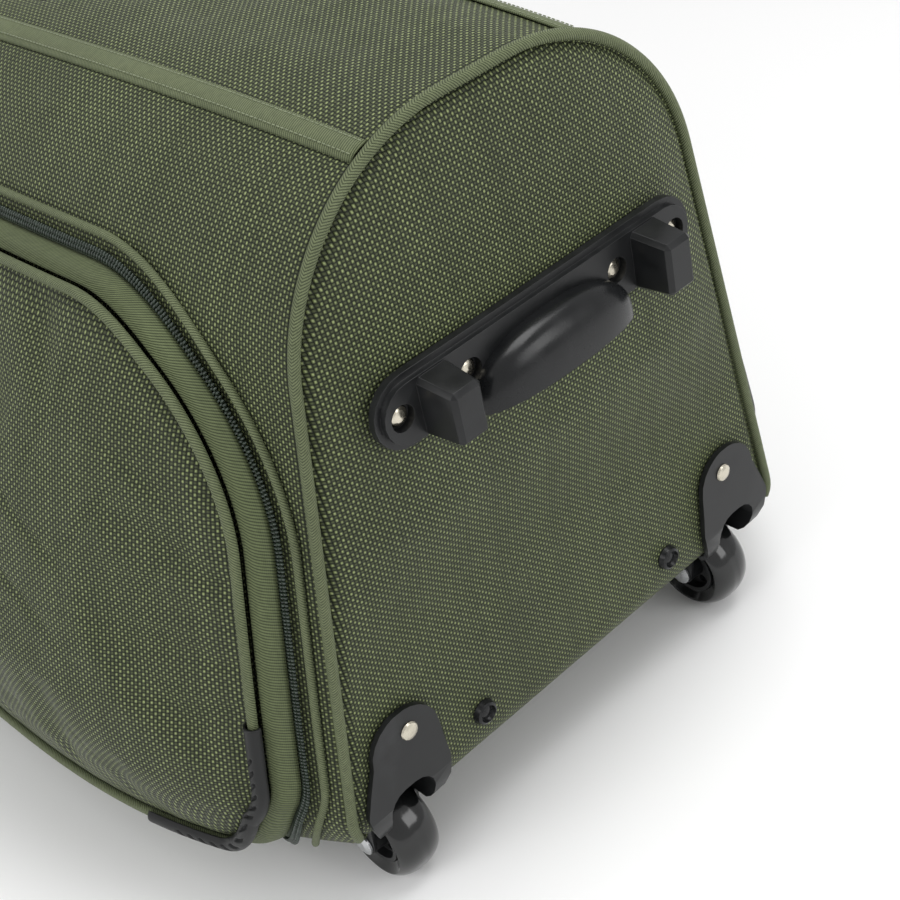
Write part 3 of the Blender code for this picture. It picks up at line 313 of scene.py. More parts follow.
def mottle(tree, place, size, low, high, detail=3.0):
    """Noise with patches of the given size, spread between low and high."""
    cloud = tree.nodes.new("ShaderNodeTexNoise")
    wire(tree, place, cloud.inputs["Vector"])
    cloud.inputs["Scale"].default_value = 1 / size
    cloud.inputs["Detail"].default_value = detail
    span = tree.nodes.new("ShaderNodeMapRange")
    wire(tree, cloud.outputs[0], span.inputs["Value"])
    span.inputs["From Min"].default_value = 0.3
    span.inputs["From Max"].default_value = 0.7
    span.inputs["To Min"].default_value = low
    span.inputs["To Max"].default_value = high
    return span.outputs[0]


def new_group(name, inputs, outputs):
    tree = bpy.data.node_groups.new(name, "ShaderNodeTree")
    for label, kind, value in inputs:
        socket = tree.interface.new_socket(label, in_out="INPUT", socket_type="NodeSocket" + kind)
        if value is not None:
            socket.default_value = value
    for label, kind in outputs:
        tree.interface.new_socket(label, in_out="OUTPUT", socket_type="NodeSocket" + kind)
    return tree, tree.nodes.new("NodeGroupInput").outputs, tree.nodes.new("NodeGroupOutput").inputs


def arch(tree, value):
    """Rises from 0 to 1 and falls back over each whole step of the value."""
    return math_node(tree, "SINE", math_node(tree, "MULTIPLY", math_node(tree, "FRACT", value), math.pi))


# Light is the painted lit tone of thread and rib crowns; Dark is the painted shade in the gaps and grooves.
lit_and_shaded_tones = [("Light", "Color", (0.2, 0.24, 0.13, 1)), ("Dark", "Color", (0.01, 0.015, 0.006, 1))]
color_and_height = [("Color", "Color"), ("Height", "Float")]


# The sunk weft is painted darker as shade too; the power below sets how steeply the painted shade deepens
# into the gaps.
sunk_weft = 0.45
gap_shade_power = 1.8


def plain_weave():
    """Threads that go over and under each other by turns, each with a tone of its own; the crowns are
    painted lit and the gaps painted in shade.
    """
    tree, given, result = new_group(
        "plain_weave", [("Cut", "Vector", None), ("Thread", "Float", 0.0013)] + lit_and_shaded_tones, color_and_height)
    split = tree.nodes.new("ShaderNodeSeparateXYZ")
    tree.links.new(given["Cut"], split.inputs[0])
    u = math_node(tree, "DIVIDE", split.outputs["X"], given["Thread"])
    v = math_node(tree, "DIVIDE", split.outputs["Y"], given["Thread"])
    across = arch(tree, u)
    along = arch(tree, v)
    column = math_node(tree, "FLOOR", u)
    row = math_node(tree, "FLOOR", v)
    under = math_node(tree, "FLOORED_MODULO", math_node(tree, "ADD", column, row), 2.0)
    over = math_node(tree, "SUBTRACT", 1.0, under)
    warp = math_node(tree, "MULTIPLY", across, math_node(tree, "MULTIPLY_ADD", along, 0.65, 0.35))
    weft = math_node(tree, "MULTIPLY", along, math_node(tree, "MULTIPLY_ADD", across, 0.65, 0.35))
    high = math_node(tree, "MULTIPLY", warp, over)
    low = math_node(tree, "MULTIPLY", math_node(tree, "MULTIPLY", weft, under), sunk_weft)
    height = math_node(tree, "ADD", high, low)
    thread_noise = tree.nodes.new("ShaderNodeTexWhiteNoise")
    thread_noise.noise_dimensions = "1D"
    warp_thread = math_node(tree, "MULTIPLY", column, over)
    pick = math_node(tree, "ADD", warp_thread, math_node(tree, "MULTIPLY", row, under))
    tree.links.new(pick, thread_noise.inputs["W"])
    uneven = math_node(tree, "MULTIPLY_ADD", thread_noise.outputs["Value"], 0.34, 0.83)
    slub = mottle(tree, given["Cut"], 0.004, 0.82, 1.12, 2.0)
    worn = math_node(tree, "MULTIPLY", uneven, slub)
    # Painted light: the thread crowns get a painted highlight and the gaps painted shade, times each
    # thread's own tone.
    painted_light_and_tone = math_node(tree, "MULTIPLY", math_node(tree, "POWER", height, gap_shade_power), worn)
    tree.links.new(mix_color(tree, painted_light_and_tone, given["Dark"], given["Light"]), result["Color"])
    tree.links.new(height, result["Height"])
    return tree


def ribbed_weave():
    """Slanted ribs of narrow tape; with Chevron at 1 they meet in a herringbone. The rib crowns are painted
    lit and the grooves painted in shade.
    """
    tree, given, result = new_group(
        "ribbed_weave",
        [("Cut", "Vector", None), ("Rib", "Float", 0.0016), ("Slant", "Float", 0.8),
         ("Chevron", "Float", 1.0)] + lit_and_shaded_tones, color_and_height)
    split = tree.nodes.new("ShaderNodeSeparateXYZ")
    tree.links.new(given["Cut"], split.inputs[0])
    folded = math_node(tree, "ABSOLUTE", split.outputs["Y"])
    turn = math_node(tree, "SUBTRACT", folded, split.outputs["Y"])
    width = math_node(tree, "MULTIPLY_ADD", turn, given["Chevron"], split.outputs["Y"])
    run = math_node(tree, "MULTIPLY_ADD", width, given["Slant"], split.outputs["X"])
    height = arch(tree, math_node(tree, "DIVIDE", run, given["Rib"]))
    fine = math_node(tree, "SINE", math_node(tree, "DIVIDE", split.outputs["Y"], 0.00011))
    # Painted light: rib crowns painted lit, grooves painted in shade, times a random fuzz of tone.
    lit = math_node(tree, "MULTIPLY_ADD", fine, 0.10, math_node(tree, "POWER", height, 0.8))
    fuzz = mottle(tree, given["Cut"], 0.003, 0.80, 1.10, 2.0)
    painted_light_and_tone = math_node(tree, "MULTIPLY", lit, fuzz)
    tree.links.new(mix_color(tree, painted_light_and_tone, given["Dark"], given["Light"]), result["Color"])
    tree.links.new(height, result["Height"])
    return tree


def new_material(name, roughness):
    material = bpy.data.materials.new(name)
    material.use_nodes = True
    shader = material.node_tree.nodes["Principled BSDF"]
    shader.inputs["Roughness"].default_value = roughness
    return material, material.node_tree, shader


def raise_surface(tree, shader, height, depth, strength=1.0):
    bump = tree.nodes.new("ShaderNodeBump")
    bump.inputs["Distance"].default_value = depth
    bump.inputs["Strength"].default_value = strength
    tree.links.new(height, bump.inputs["Height"])
    tree.links.new(bump.outputs["Normal"], shader.inputs["Normal"])


weave_group = plain_weave()
rib_group = ribbed_weave()


def woven(name, group, light, dark, depth, roughness, values):
    """A cloth from one of the weaves, with faint patches of dust and of wear."""
    material, tree, shader = new_material(name, roughness)
    cut = tree.nodes.new("ShaderNodeUVMap")
    cut.uv_map = "cut"
    cloth = tree.nodes.new("ShaderNodeGroup")
    cloth.node_tree = group
    tree.links.new(cut.outputs["UV"], cloth.inputs["Cut"])
    cloth.inputs["Light"].default_value = (*light, 1)
    cloth.inputs["Dark"].default_value = (*dark, 1)
    for label, value in values.items():
        cloth.inputs[label].default_value = value
    coordinates = tree.nodes.new("ShaderNodeTexCoord")
    faded = mottle(tree, coordinates.outputs["Object"], 0.09, 0.90, 1.10)
    tone = tree.nodes.new("ShaderNodeHueSaturation")
    tree.links.new(faded, tone.inputs["Value"])
    tree.links.new(cloth.outputs["Color"], tone.inputs["Color"])
    tree.links.new(tone.outputs["Color"], shader.inputs["Base Color"])
    rough = mottle(tree, coordinates.outputs["Object"], 0.02, roughness - 0.06, roughness + 0.06)
    tree.links.new(rough, shader.inputs["Roughness"])
    shader.inputs["Specular IOR Level"].default_value = 0.22
    shader.inputs["Sheen Weight"].default_value = 0.03
    shader.inputs["Sheen Roughness"].default_value = 0.5
    raise_surface(tree, shader, cloth.outputs["Height"], depth)
    return material


panel_thread = 0.0019
# The light tone is the painted highlight on the thread crowns, the dark one the painted shade in the gaps.
panel_cloth = woven("olive_polyester", weave_group, (0.285, 0.335, 0.145), (0.003, 0.006, 0.002),
                    0.0007, 0.50, {"Thread": panel_thread})

lining, lining_tree, lining_shader = new_material("black_lining", 0.55)
lining_shader.inputs["Base Color"].default_value = (0.012, 0.013, 0.012, 1)
lining_place = lining_tree.nodes.new("ShaderNodeTexCoord").outputs["Object"]
raise_surface(lining_tree, lining_shader, mottle(lining_tree, lining_place, 0.004, 0, 1), 0.0004, 0.5)


def dress(ob, *materials):
    ob.data.materials.clear()
    for material in materials:
        ob.data.materials.append(material)
    return ob


# ---------------------------------------------------------------- side and back panels
# Each side is one piece from the lower edge up over the dome to the binding tape. Its
# edges are turned under at the seams, and the wheel wells are cut out of its front corner.
d_tape = d_of_y(0.065)
trim = 0.0065
under_piping = 0.0045
cloth_wall = 0.0024
well_half_w = 0.0180
well_top_z = 0.0856
well_back_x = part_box("near_wheel_housing")[0].x - 0.0004
wheel_y = (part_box("far_wheel_tyre")[0].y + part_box("far_wheel_tyre")[1].y) / 2


def well_cutter():
    """The two wheel wells' space, to cut out of the cloth."""
    bm = bmesh.new()
    for side in sides.values():
        made = bmesh.ops.create_cube(bm, size=1.0)["verts"]
        low = Vector((well_back_x, side * wheel_y - well_half_w, -0.02))
        high = Vector((wheel_end_x + 0.06, side * wheel_y + well_half_w, well_top_z))
        bmesh.ops.scale(bm, vec=high - low, verts=made)
        bmesh.ops.translate(bm, vec=(high + low) / 2, verts=made)
    high_edges = [e for e in bm.edges if all(v.co.z > 0.05 for v in e.verts)]
    top = [e for e in high_edges if abs(e.verts[0].co.x - e.verts[1].co.x) > 0.01]
    bmesh.ops.bevel(bm, geom=top, offset=0.012, segments=4, profile=0.5, affect="EDGES")
    return link_bmesh("well_space", bm)


well_space = well_cutter()


def cut_with(ob, cutter, operation="DIFFERENCE"):
    cut = ob.modifiers.new("cut", "BOOLEAN")
    cut.operation = operation
    cut.solver = "EXACT"
    cut.object = cutter
    return made_plain(ob)


def take_place(piece, node):
    """The piece stands for a CAD node: it hides that node and rides on its body."""
    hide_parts(node)
    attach(piece, frame["nodes"][node]["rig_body"])


def go_with(piece, body):
    """The piece has no CAD node of its own: it moves with a body."""
    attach(piece, body)


def tucked(distance, reach=0.006, depth=0.0022):
    """Cloth drops by up to depth where it runs into a seam."""
    return -depth * (1 - ease(distance / reach))


for label, side in sides.items():
    rows, cuts = [], []
    for d in spread(d_corner + 0.0008, d_tape + 0.0010, 96):
        z = outline(d)[1]
        low = handle_end_x + trim - under_piping + end_inset(z)
        high = wheel_end_x - trim + under_piping - end_inset(z)
        row, cut = [], []
        for x in spread(low, high, 132):
            from_edge = min(x - low, high - x, d_tape - d)
            slack = ease(from_edge / 0.05)
            waves = 0.0016 * ripple(x, d, 3.7 + side) + 0.0006 * ripple(x, d, 9.1, 0.02)
            row.append(skin(x, d, side, tucked(from_edge) + slack * waves))
            cut.append((x, d))
        rows.append(row)
        cuts.append(cut)
    panel = give_wall(dress(cloth_grid(label + "_side_cloth", rows, cuts), panel_cloth, lining), cloth_wall)
    cut_with(panel, well_space)
    take_place(panel, label + "_side_panel")

rows, cuts = [], []
for y in spread(-d_corner, d_corner, 60):
    xs = spread(handle_end_x + edge_r, wheel_end_x - edge_r, 110)
    rows.append([Vector((x, y, back_z + 0.0003 * (1 + ripple(x, y, 5.2)))) for x in xs])
    cuts.append([(x, y) for x in xs])
back_cloth = give_wall(dress(cloth_grid("back_cloth", rows, cuts), panel_cloth, lining), cloth_wall)
cut_with(back_cloth, well_space)
take_place(back_cloth, "back_panel")

# ---------------------------------------------------------------- end panels
# Stiffened panels of the same cloth, a little domed above and held flat by the base
# below. Their edge is turned into the piping's groove all round.
def end_outline(inset, count):
    """Ring of (y, z) points round the end outline, drawn in by inset."""
    half = []
    for d in spread(d_corner, d_middle, count):
        y, z, a = outline(d)
        half.append(Vector((y - inset * math.cos(a), z - inset * math.sin(a))))
    ring = half + [Vector((-p.x, p.y)) for p in reversed(half[:-1])]
    bottom = [Vector((y, ring[0].y)) for y in spread(ring[-1].x, ring[0].x, 40)]
    return ring + bottom[1:]


for label, way in ends.items():
    seam_x = wheel_end_x if way > 0 else handle_end_x
    ring = end_outline(0.0028, 110)
    centre = Vector((0.0, 0.225))
    rows, cuts = [], []
    for share in [1.0, 0.992, 0.984, 0.972, 0.955] + spread(0.93, 0.02, 40):
        row, cut = [], []
        for p in ring:
            flat = centre + (p - centre) * share
            stiff = ease((flat.y - 0.158) / 0.08)
            rise = panel_swell * (1 - share ** 6) * stiff + tucked((1 - share) * 0.16, 0.005, 0.0026)
            rise += 0.0007 * ripple(flat.x, flat.y, 12.5 + way, 0.05) * ease((1 - share) * 8)
            x = seam_x + way * (rise - end_inset(flat.y) * min(1.0, 2 * share))
            row.append(Vector((x, flat.x, flat.y)))
            cut.append((flat.x, flat.y))
        rows.append(row)
        cuts.append(cut)
    panel = weld(cloth_grid(label + "_end_cloth", rows, cuts))
    with edited(panel) as bm:
        rims = [e for e in bm.edges if e.is_boundary]
        inner = [e for e in rims if all((v.co.yz - centre).length < 0.02 for v in e.verts)]
        uv_layer = bm.loops.layers.uv["cut"]
        for face in bmesh.ops.contextual_create(bm, geom=inner)["faces"]:
            if face.normal.x * way < 0:
                face.normal_flip()
            face.smooth = True
            for loop in face.loops:
                loop[uv_layer].uv = loop.vert.co.yz
    give_wall(dress(panel, panel_cloth, lining), cloth_wall)
    if way > 0:
        cut_with(panel, well_space)
    take_place(panel, label + "_end_panel")

# ---------------------------------------------------------------- piping of the end seams
# Cord wrapped in herringbone tape and sewn into the seam all round each end panel, but
# for the bottom edge. The wheel end's ends disappear behind the wheel housings.
def tube_grid(name, places, around=16, closed=False):
    """A tube from (point, outward, radius) places; the UV's second part is 0 on its outer line."""
    if closed:
        places = places + places[:1]
    rows, cuts = [], []
    run = 0.0
    last = len(places) - 1
    for i, (point, outward, radius) in enumerate(places):
        before = places[i - 1][0] if i else (places[-2][0] if closed else point)
        after = places[i + 1][0] if i < last else (places[1][0] if closed else point)
        along = (after - before).normalized()
        across = along.cross(outward).normalized()
        out = across.cross(along).normalized()
        if out.dot(outward) < 0:
            out.negate()
        if i:
            run += (point - places[i - 1][0]).length
        turns = spread(-math.pi, math.pi, around + 1)
        rows.append([point + (out * math.cos(t) + across * math.sin(t)) * radius for t in turns])
        cuts.append([(run, t * radius) for t in turns])
    ob = cloth_grid(name, rows, cuts, face_out=False)
    weld(ob, 0.00001)
    with edited(ob) as bm:
        if not closed:
            bmesh.ops.holes_fill(bm, edges=[e for e in bm.edges if e.is_boundary], sides=0)
        bmesh.ops.recalc_face_normals(bm, faces=bm.faces)
    return ob


# Light tone: painted highlight on the rib crowns; dark tone: painted shade in the grooves.
piping_tape = woven("herringbone_piping", rib_group, (0.150, 0.175, 0.090), (0.018, 0.026, 0.012),
                    0.0003, 0.55, {"Rib": 0.0015, "Slant": 0.75, "Chevron": 1.0})
piping_r = 0.0029

for label, way in ends.items():
    seam_x = wheel_end_x if way > 0 else handle_end_x
    places = []
    for side in (1, -1):
        ds = spread(d_corner + len_corner * 0.72, d_middle, 120)
        for d in (ds if side > 0 else list(reversed(ds))[1:]):
            y, z, a = outline(d)
            spot = Vector((seam_x - way * (0.0014 + end_inset(z)), side * y, z))
            spot += outward_at(d, side) * 0.0006
            places.append((spot, outward_at(d, side) + Vector((way * 0.6, 0, 0)), piping_r))
    piping = dress(tube_grid(label + "_end_cord", places), piping_tape)
    if way > 0:
        cut_with(piping, well_space)
    take_place(piping, label + "_end_piping")

bpy.data.objects.remove(well_space)

# ---------------------------------------------------------------- binding tapes and their stitches
# A ribbed tape covers the seam between each side and the top. It is crowned along its
# lower part, flatter above, and sewn down with a row of thick stitches along each edge.
def row_of_beads():
    """Lays rounded beads on points, turned to the points' own Along and Outward directions."""
    tree = bpy.data.node_groups.new("row_of_beads", "GeometryNodeTree")
    tree.interface.new_socket("Points", in_out="INPUT", socket_type="NodeSocketGeometry")
    for label, value in (("Length", 0.002), ("Width", 0.001), ("Height", 0.001)):
        tree.interface.new_socket(label, in_out="INPUT", socket_type="NodeSocketFloat").default_value = value
    tree.interface.new_socket("Finish", in_out="INPUT", socket_type="NodeSocketMaterial")
    tree.interface.new_socket("Beads", in_out="OUTPUT", socket_type="NodeSocketGeometry")
    given = tree.nodes.new("NodeGroupInput").outputs
    bead = tree.nodes.new("GeometryNodeMeshUVSphere")
    bead.inputs["Segments"].default_value = 8
    bead.inputs["Rings"].default_value = 5
    bead.inputs["Radius"].default_value = 0.5
    size = tree.nodes.new("ShaderNodeCombineXYZ")
    tree.links.new(given["Length"], size.inputs["X"])
    tree.links.new(given["Width"], size.inputs["Y"])
    tree.links.new(given["Height"], size.inputs["Z"])
    shaped = tree.nodes.new("GeometryNodeTransform")
    tree.links.new(bead.outputs["Mesh"], shaped.inputs["Geometry"])
    tree.links.new(size.outputs[0], shaped.inputs["Scale"])
    turn = tree.nodes.new("FunctionNodeAxesToRotation")
    turn.primary_axis = "X"
    turn.secondary_axis = "Z"
    for label, socket in (("Along", turn.inputs[0]), ("Outward", turn.inputs[1])):
        read = tree.nodes.new("GeometryNodeInputNamedAttribute")
        read.data_type = "FLOAT_VECTOR"
        read.inputs["Name"].default_value = label
        tree.links.new(read.outputs["Attribute"], socket)
    copies = tree.nodes.new("GeometryNodeInstanceOnPoints")
    tree.links.new(given["Points"], copies.inputs["Points"])
    tree.links.new(shaped.outputs[0], copies.inputs["Instance"])
    tree.links.new(turn.outputs[0], copies.inputs["Rotation"])
    real = tree.nodes.new("GeometryNodeRealizeInstances")
    tree.links.new(copies.outputs[0], real.inputs[0])
    smooth = tree.nodes.new("GeometryNodeSetShadeSmooth")
    tree.links.new(real.outputs[0], smooth.inputs[0])
    finish = tree.nodes.new("GeometryNodeSetMaterial")
    tree.links.new(smooth.outputs[0], finish.inputs["Geometry"])
    tree.links.new(given["Finish"], finish.inputs["Material"])
    tree.links.new(finish.outputs[0], tree.nodes.new("NodeGroupOutput").inputs[0])
    return tree


bead_tree = row_of_beads()


def lay_beads(name, spots, length, width, height, material):
    """Beads at (point, along, outward) spots, as one plain mesh."""
    mesh = bpy.data.meshes.new(name)
    mesh.from_pydata([p for p, along, outward in spots], [], [])
    for label, pick in (("Along", 1), ("Outward", 2)):
        attribute = mesh.attributes.new(label, "FLOAT_VECTOR", "POINT")
        for item, spot in zip(attribute.data, spots):
            item.vector = spot[pick]
    ob = link(name, mesh)
    modifier = ob.modifiers.new("beads", "NODES")
    modifier.node_group = bead_tree
    inputs = [item for item in bead_tree.interface.items_tree if item.in_out == "INPUT"]
    sockets = {item.name: item.identifier for item in inputs}
    for label, value in (("Length", length), ("Width", width), ("Height", height), ("Finish", material)):
        modifier[sockets[label]] = value
    ob.update_tag()
    return made_plain(ob)


def along_path(path, step, start=0.0):
    """(point, along) pairs every step metres along a list of points."""
    out = []
    need = start
    for a, b in zip(path, path[1:]):
        length = (b - a).length
        while need <= length:
            out.append((a.lerp(b, need / length), (b - a).normalized()))
            need += step
        need -= length
    return out


# Light tone: painted highlight on the rib crowns; dark tone: painted shade in the grooves.
binding = woven("ribbed_binding", rib_group, (0.150, 0.175, 0.090), (0.024, 0.034, 0.015),
                0.0003, 0.6, {"Rib": 0.0013, "Slant": 0.10, "Chevron": 0.0})
thread, thread_tree, thread_shader = new_material("olive_thread", 0.5)
thread_shader.inputs["Sheen Weight"].default_value = 0.2
thread_place = thread_tree.nodes.new("ShaderNodeTexCoord").outputs["Object"]
thread_tone = mix_color(thread_tree, mottle(thread_tree, thread_place, 0.003, 0, 1),
                        (0.12, 0.145, 0.075, 1), (0.20, 0.23, 0.13, 1))
thread_tree.links.new(thread_tone, thread_shader.inputs["Base Color"])

tape_half_w = 0.0060
tape_crown = 0.0021
flatter_from = 0.4


def tape_height(share):
    """The tape's crown, for share from -1 at its lower edge to 1 at its upper one."""
    if share < flatter_from:
        return tape_crown * (1 - abs(share) ** 3)
    upper = ease((share - flatter_from) / (1 - flatter_from))
    return tape_crown * (1 - flatter_from ** 3) * (1 - 0.35 * upper)


for label, side in sides.items():
    rows, cuts = [], []
    for d in spread(d_tape - tape_half_w, d_tape + tape_half_w, 13):
        share = (d - d_tape) / tape_half_w
        xs = spread(handle_end_x + 0.0050, wheel_end_x - 0.0050, 200)
        rows.append([skin(x, d, side, tape_height(share) + 0.0004) for x in xs])
        cuts.append([(x, d - d_tape) for x in xs])
    tape = give_wall(dress(cloth_grid(label + "_binding", rows, cuts), binding), 0.0010, lined=False)
    take_place(tape, label + "_binding_tape")
    for line, offset, lift in (("upper", 0.0046, 0.0021), ("lower", -0.0030, 0.0026)):
        xs = spread(handle_end_x + 0.007, wheel_end_x - 0.007, 200)
        path = [skin(x, d_tape + offset, side, lift) for x in xs]
        outward = outward_at(d_tape + offset, side)
        spots = [(p, along, outward) for p, along in along_path(path, 0.0030)]
        stitches = lay_beads(label + "_" + line + "_stitches", spots, 0.0027, 0.0007, 0.0006, thread)
        go_with(stitches, "root")

# ---------------------------------------------------------------- top panel and zipped flap
# The top is one slack cloth that billows between the tapes. A long flap with round
# corners is cut out of it: a zip closes three of its edges and the near one is its hinge.
flap_low, flap_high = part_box("top_flap")
flap_rear_x, flap_front_x = flap_low.x, flap_high.x
flap_half_w = flap_high.y
flap_corner_r = 0.030
top_half_w = 0.0652
sewn_half_w = 0.066


def billow(x, y):
    """How far the slack top stands off the plain skin."""
    from_edge = min(x - handle_end_x, wheel_end_x - x, sewn_half_w - abs(y))
    free = ease(from_edge / 0.045)
    return free * (0.0030 * ripple(x, y, 21.4, 0.16) + 0.0014 * ripple(x, y, 4.4, 0.045))


def top_point(x, y, lift=0.0):
    """Point over the top that ends up y from the middle, found by halving."""
    side = 1 if y >= 0 else -1
    low, high = d_dome, d_middle
    for _ in range(22):
        d = (low + high) / 2
        if skin(x, d, 1).y > abs(y):
            low = d
        else:
            high = d
    return skin(x, d, side) + outward_at(d, side) * (lift + billow(x, y))


def rounded_loop(x0, x1, y0, y1, radius, steps=8):
    loop = []
    for cx, cy, start in ((x1 - radius, y1 - radius, 0), (x0 + radius, y1 - radius, 90),
                          (x0 + radius, y0 + radius, 180), (x1 - radius, y0 + radius, 270)):
        for k in range(steps + 1):
            a = math.radians(start + 90 * k / steps)
            loop.append((cx + radius * math.cos(a), cy + radius * math.sin(a)))
    return loop


def flap_prism(grow):
    loop = rounded_loop(flap_rear_x - grow, flap_front_x + grow, -flap_half_w - grow, flap_half_w + grow,
                        flap_corner_r + grow)
    bm = bmesh.new()
    face = bm.faces.new([bm.verts.new((x, y, top_z - 0.05)) for x, y in loop])
    made = bmesh.ops.extrude_face_region(bm, geom=[face])["geom"]
    bmesh.ops.translate(bm, vec=(0, 0, 0.1), verts=[v for v in made if isinstance(v, bmesh.types.BMVert)])
    bmesh.ops.recalc_face_normals(bm, faces=bm.faces)
    return link_bmesh("flap_prism", bm)


for name, node, operation, grow in (("top_cloth", "top_panel", "DIFFERENCE", 0.0010),
                                    ("flap_cloth", "top_flap", "INTERSECT", 0.0)):
    rows, cuts = [], []
    for y in spread(-top_half_w, top_half_w, 46):
        xs = spread(handle_end_x + trim - under_piping, wheel_end_x - trim + under_piping, 190)
        rows.append([top_point(x, y, tucked(min(x - xs[0], xs[-1] - x), 0.006)) for x in xs])
        cuts.append([(x, y) for x in xs])
    cloth = give_wall(dress(cloth_grid(name, rows, cuts), panel_cloth, lining), cloth_wall)
    prism = flap_prism(grow)
    cut_with(cloth, prism, operation)
    bpy.data.objects.remove(prism)
    take_place(cloth, node)

# ---------------------------------------------------------------- zips
# Nylon coil zips: two rows of glossy bent teeth that hook into each other, each sewn on a
# dark ribbed tape. One row of the flap's zip goes with the flap; all others stay with the bag.
teeth, teeth_tree, teeth_shader = new_material("coil_teeth", 0.2)
teeth_place = teeth_tree.nodes.new("ShaderNodeTexCoord").outputs["Object"]
teeth_tone = mix_color(teeth_tree, mottle(teeth_tree, teeth_place, 0.002, 0, 1),
                       (0.010, 0.016, 0.011, 1), (0.045, 0.062, 0.048, 1))
teeth_tree.links.new(teeth_tone, teeth_shader.inputs["Base Color"])
teeth_tree.links.new(mottle(teeth_tree, teeth_place, 0.006, 0.16, 0.32), teeth_shader.inputs["Roughness"])
# Light tone: painted highlight on the rib crowns; dark tone: painted shade in the grooves.
zip_tape = woven("zip_tape", rib_group, (0.060, 0.080, 0.050), (0.006, 0.009, 0.006),
                 0.0002, 0.6, {"Rib": 0.0009, "Slant": 0.5, "Chevron": 0.0})
tooth_pitch = 0.0021


def tooth_spots(path, outwards, shift, start):
    """Spots across the zip every pitch along its path, shifted sideways from its middle."""
    spots = []
    need = start
    for i in range(len(path) - 1):
        a, b = path[i], path[i + 1]
        length = (b - a).length
        while need <= length:
            share = need / length
            outward = outwards[i].lerp(outwards[i + 1], share).normalized()
            across = outward.cross(b - a).normalized()
            spots.append((a.lerp(b, share) + across * shift, across, outward))
            need += tooth_pitch
        need -= length
    return spots


def tape_strip(name, path, outwards, inner, outer, lift):
    """A flat tape beside a path, between two distances across it."""
    rows, cuts = [[], []], [[], []]
    run = 0.0
    for i, p in enumerate(path):
        before, after = path[max(i - 1, 0)], path[min(i + 1, len(path) - 1)]
        across = outwards[i].cross(after - before).normalized()
        if i:
            run += (p - path[i - 1]).length
        for k, reach in enumerate((inner, outer)):
            rows[k].append(p + across * reach + outwards[i] * lift)
            cuts[k].append((run, reach))
    return give_wall(dress(cloth_grid(name, rows, cuts), zip_tape), 0.0006, lined=False)


def flap_zip_path():
    loop = rounded_loop(flap_rear_x, flap_front_x, -flap_half_w, flap_half_w, flap_corner_r, 10)
    corner = loop[:11]
    rear = loop[11:22]
    flat = [(flap_front_x, y) for y in spread(-flap_half_w + flap_corner_r, corner[0][1], 6)[:-1]]
    flat += corner + [(x, flap_half_w) for x in spread(corner[-1][0], rear[0][0], 60)[1:-1]] + rear
    flat += [(flap_rear_x, y) for y in spread(rear[-1][1], -flap_half_w + flap_corner_r, 6)[1:]]
    return flat


flat_path = flap_zip_path()
zip_path = [top_point(x, y, 0.0012) for x, y in flat_path]
zip_out = []
for x, y in flat_path:
    lean_in = max(0.0, abs(y) - dome_y) / dome_r
    zip_out.append(Vector((0, math.copysign(lean_in, y), 1)).normalized())
for part, node, body, shift, start, inner, outer in (
        ("frame", "top_zip_frame_coil", "root", -0.0011, 0.0, -0.0052, -0.0010),
        ("flap", "top_zip_flap_coil", "flap", 0.0011, tooth_pitch / 2, 0.0012, 0.0050)):
    spots = tooth_spots(zip_path, zip_out, shift, start)
    take_place(lay_beads(part + "_zip_teeth", spots, 0.0030, 0.0013, 0.0019, teeth), node)
    strip = tape_strip(part + "_zip_tape", zip_path, zip_out, inner, outer, -0.0006)
    go_with(strip, body)


# ---------------------------------------------------------------- side pockets
# A big pocket fills each side. A twill gusset lifts its face off the bag, a herringbone
# piping edges the face, and a coil zip runs round the front, top and rear of the gusset.
pocket_front_x = wheel_end_x - 0.024
pocket_rear_x = handle_end_x + 0.024
pocket_low_d = d_corner + len_corner * 0.55
pocket_high_d = d_dome + dome_r * (math.asin((0.350 - top_z + dome_r) / dome_r) - lean_a)
pocket_top_r = 0.115
pocket_low_r = 0.045
gusset_in = 0.010
gusset_out = 0.014
face_in = 0.0015
pocket_swell = 0.028
crease_depth = 0.0018
pocket_middle = Vector(((pocket_front_x + pocket_rear_x) / 2, (pocket_low_d + pocket_high_d) / 2))


def pocket_loop(inset, step=0.005):
    """Closed loop of (x, d) along a pocket's edge from its middle bottom forwards, drawn in by inset."""
    x0, x1 = pocket_rear_x + inset, pocket_front_x - inset
    d0, d1 = pocket_low_d + inset, pocket_high_d - inset
    low_r, top_r = pocket_low_r - inset, pocket_top_r - inset
    corners = ((x1 - low_r, d0 + low_r, low_r, 270), (x1 - top_r, d1 - top_r, top_r, 0),
               (x0 + top_r, d1 - top_r, top_r, 90), (x0 + low_r, d0 + low_r, low_r, 180))
    stops = [(pocket_middle.x, d0)]
    for cx, cd, radius, start in corners:
        count = max(6, int(radius * math.pi / 2 / step))
        for k in range(count + 1):
            a = math.radians(start + 90 * k / count)
            stops.append((cx + radius * math.cos(a), cd + radius * math.sin(a)))
    stops.append(stops[0])
    loop = []
    for (xa, da), (xb, db) in zip(stops, stops[1:]):
        count = max(1, int(math.hypot(xb - xa, db - da) / step))
        loop += [(xa + (xb - xa) * k / count, da + (db - da) * k / count) for k in range(count)]
    return loop


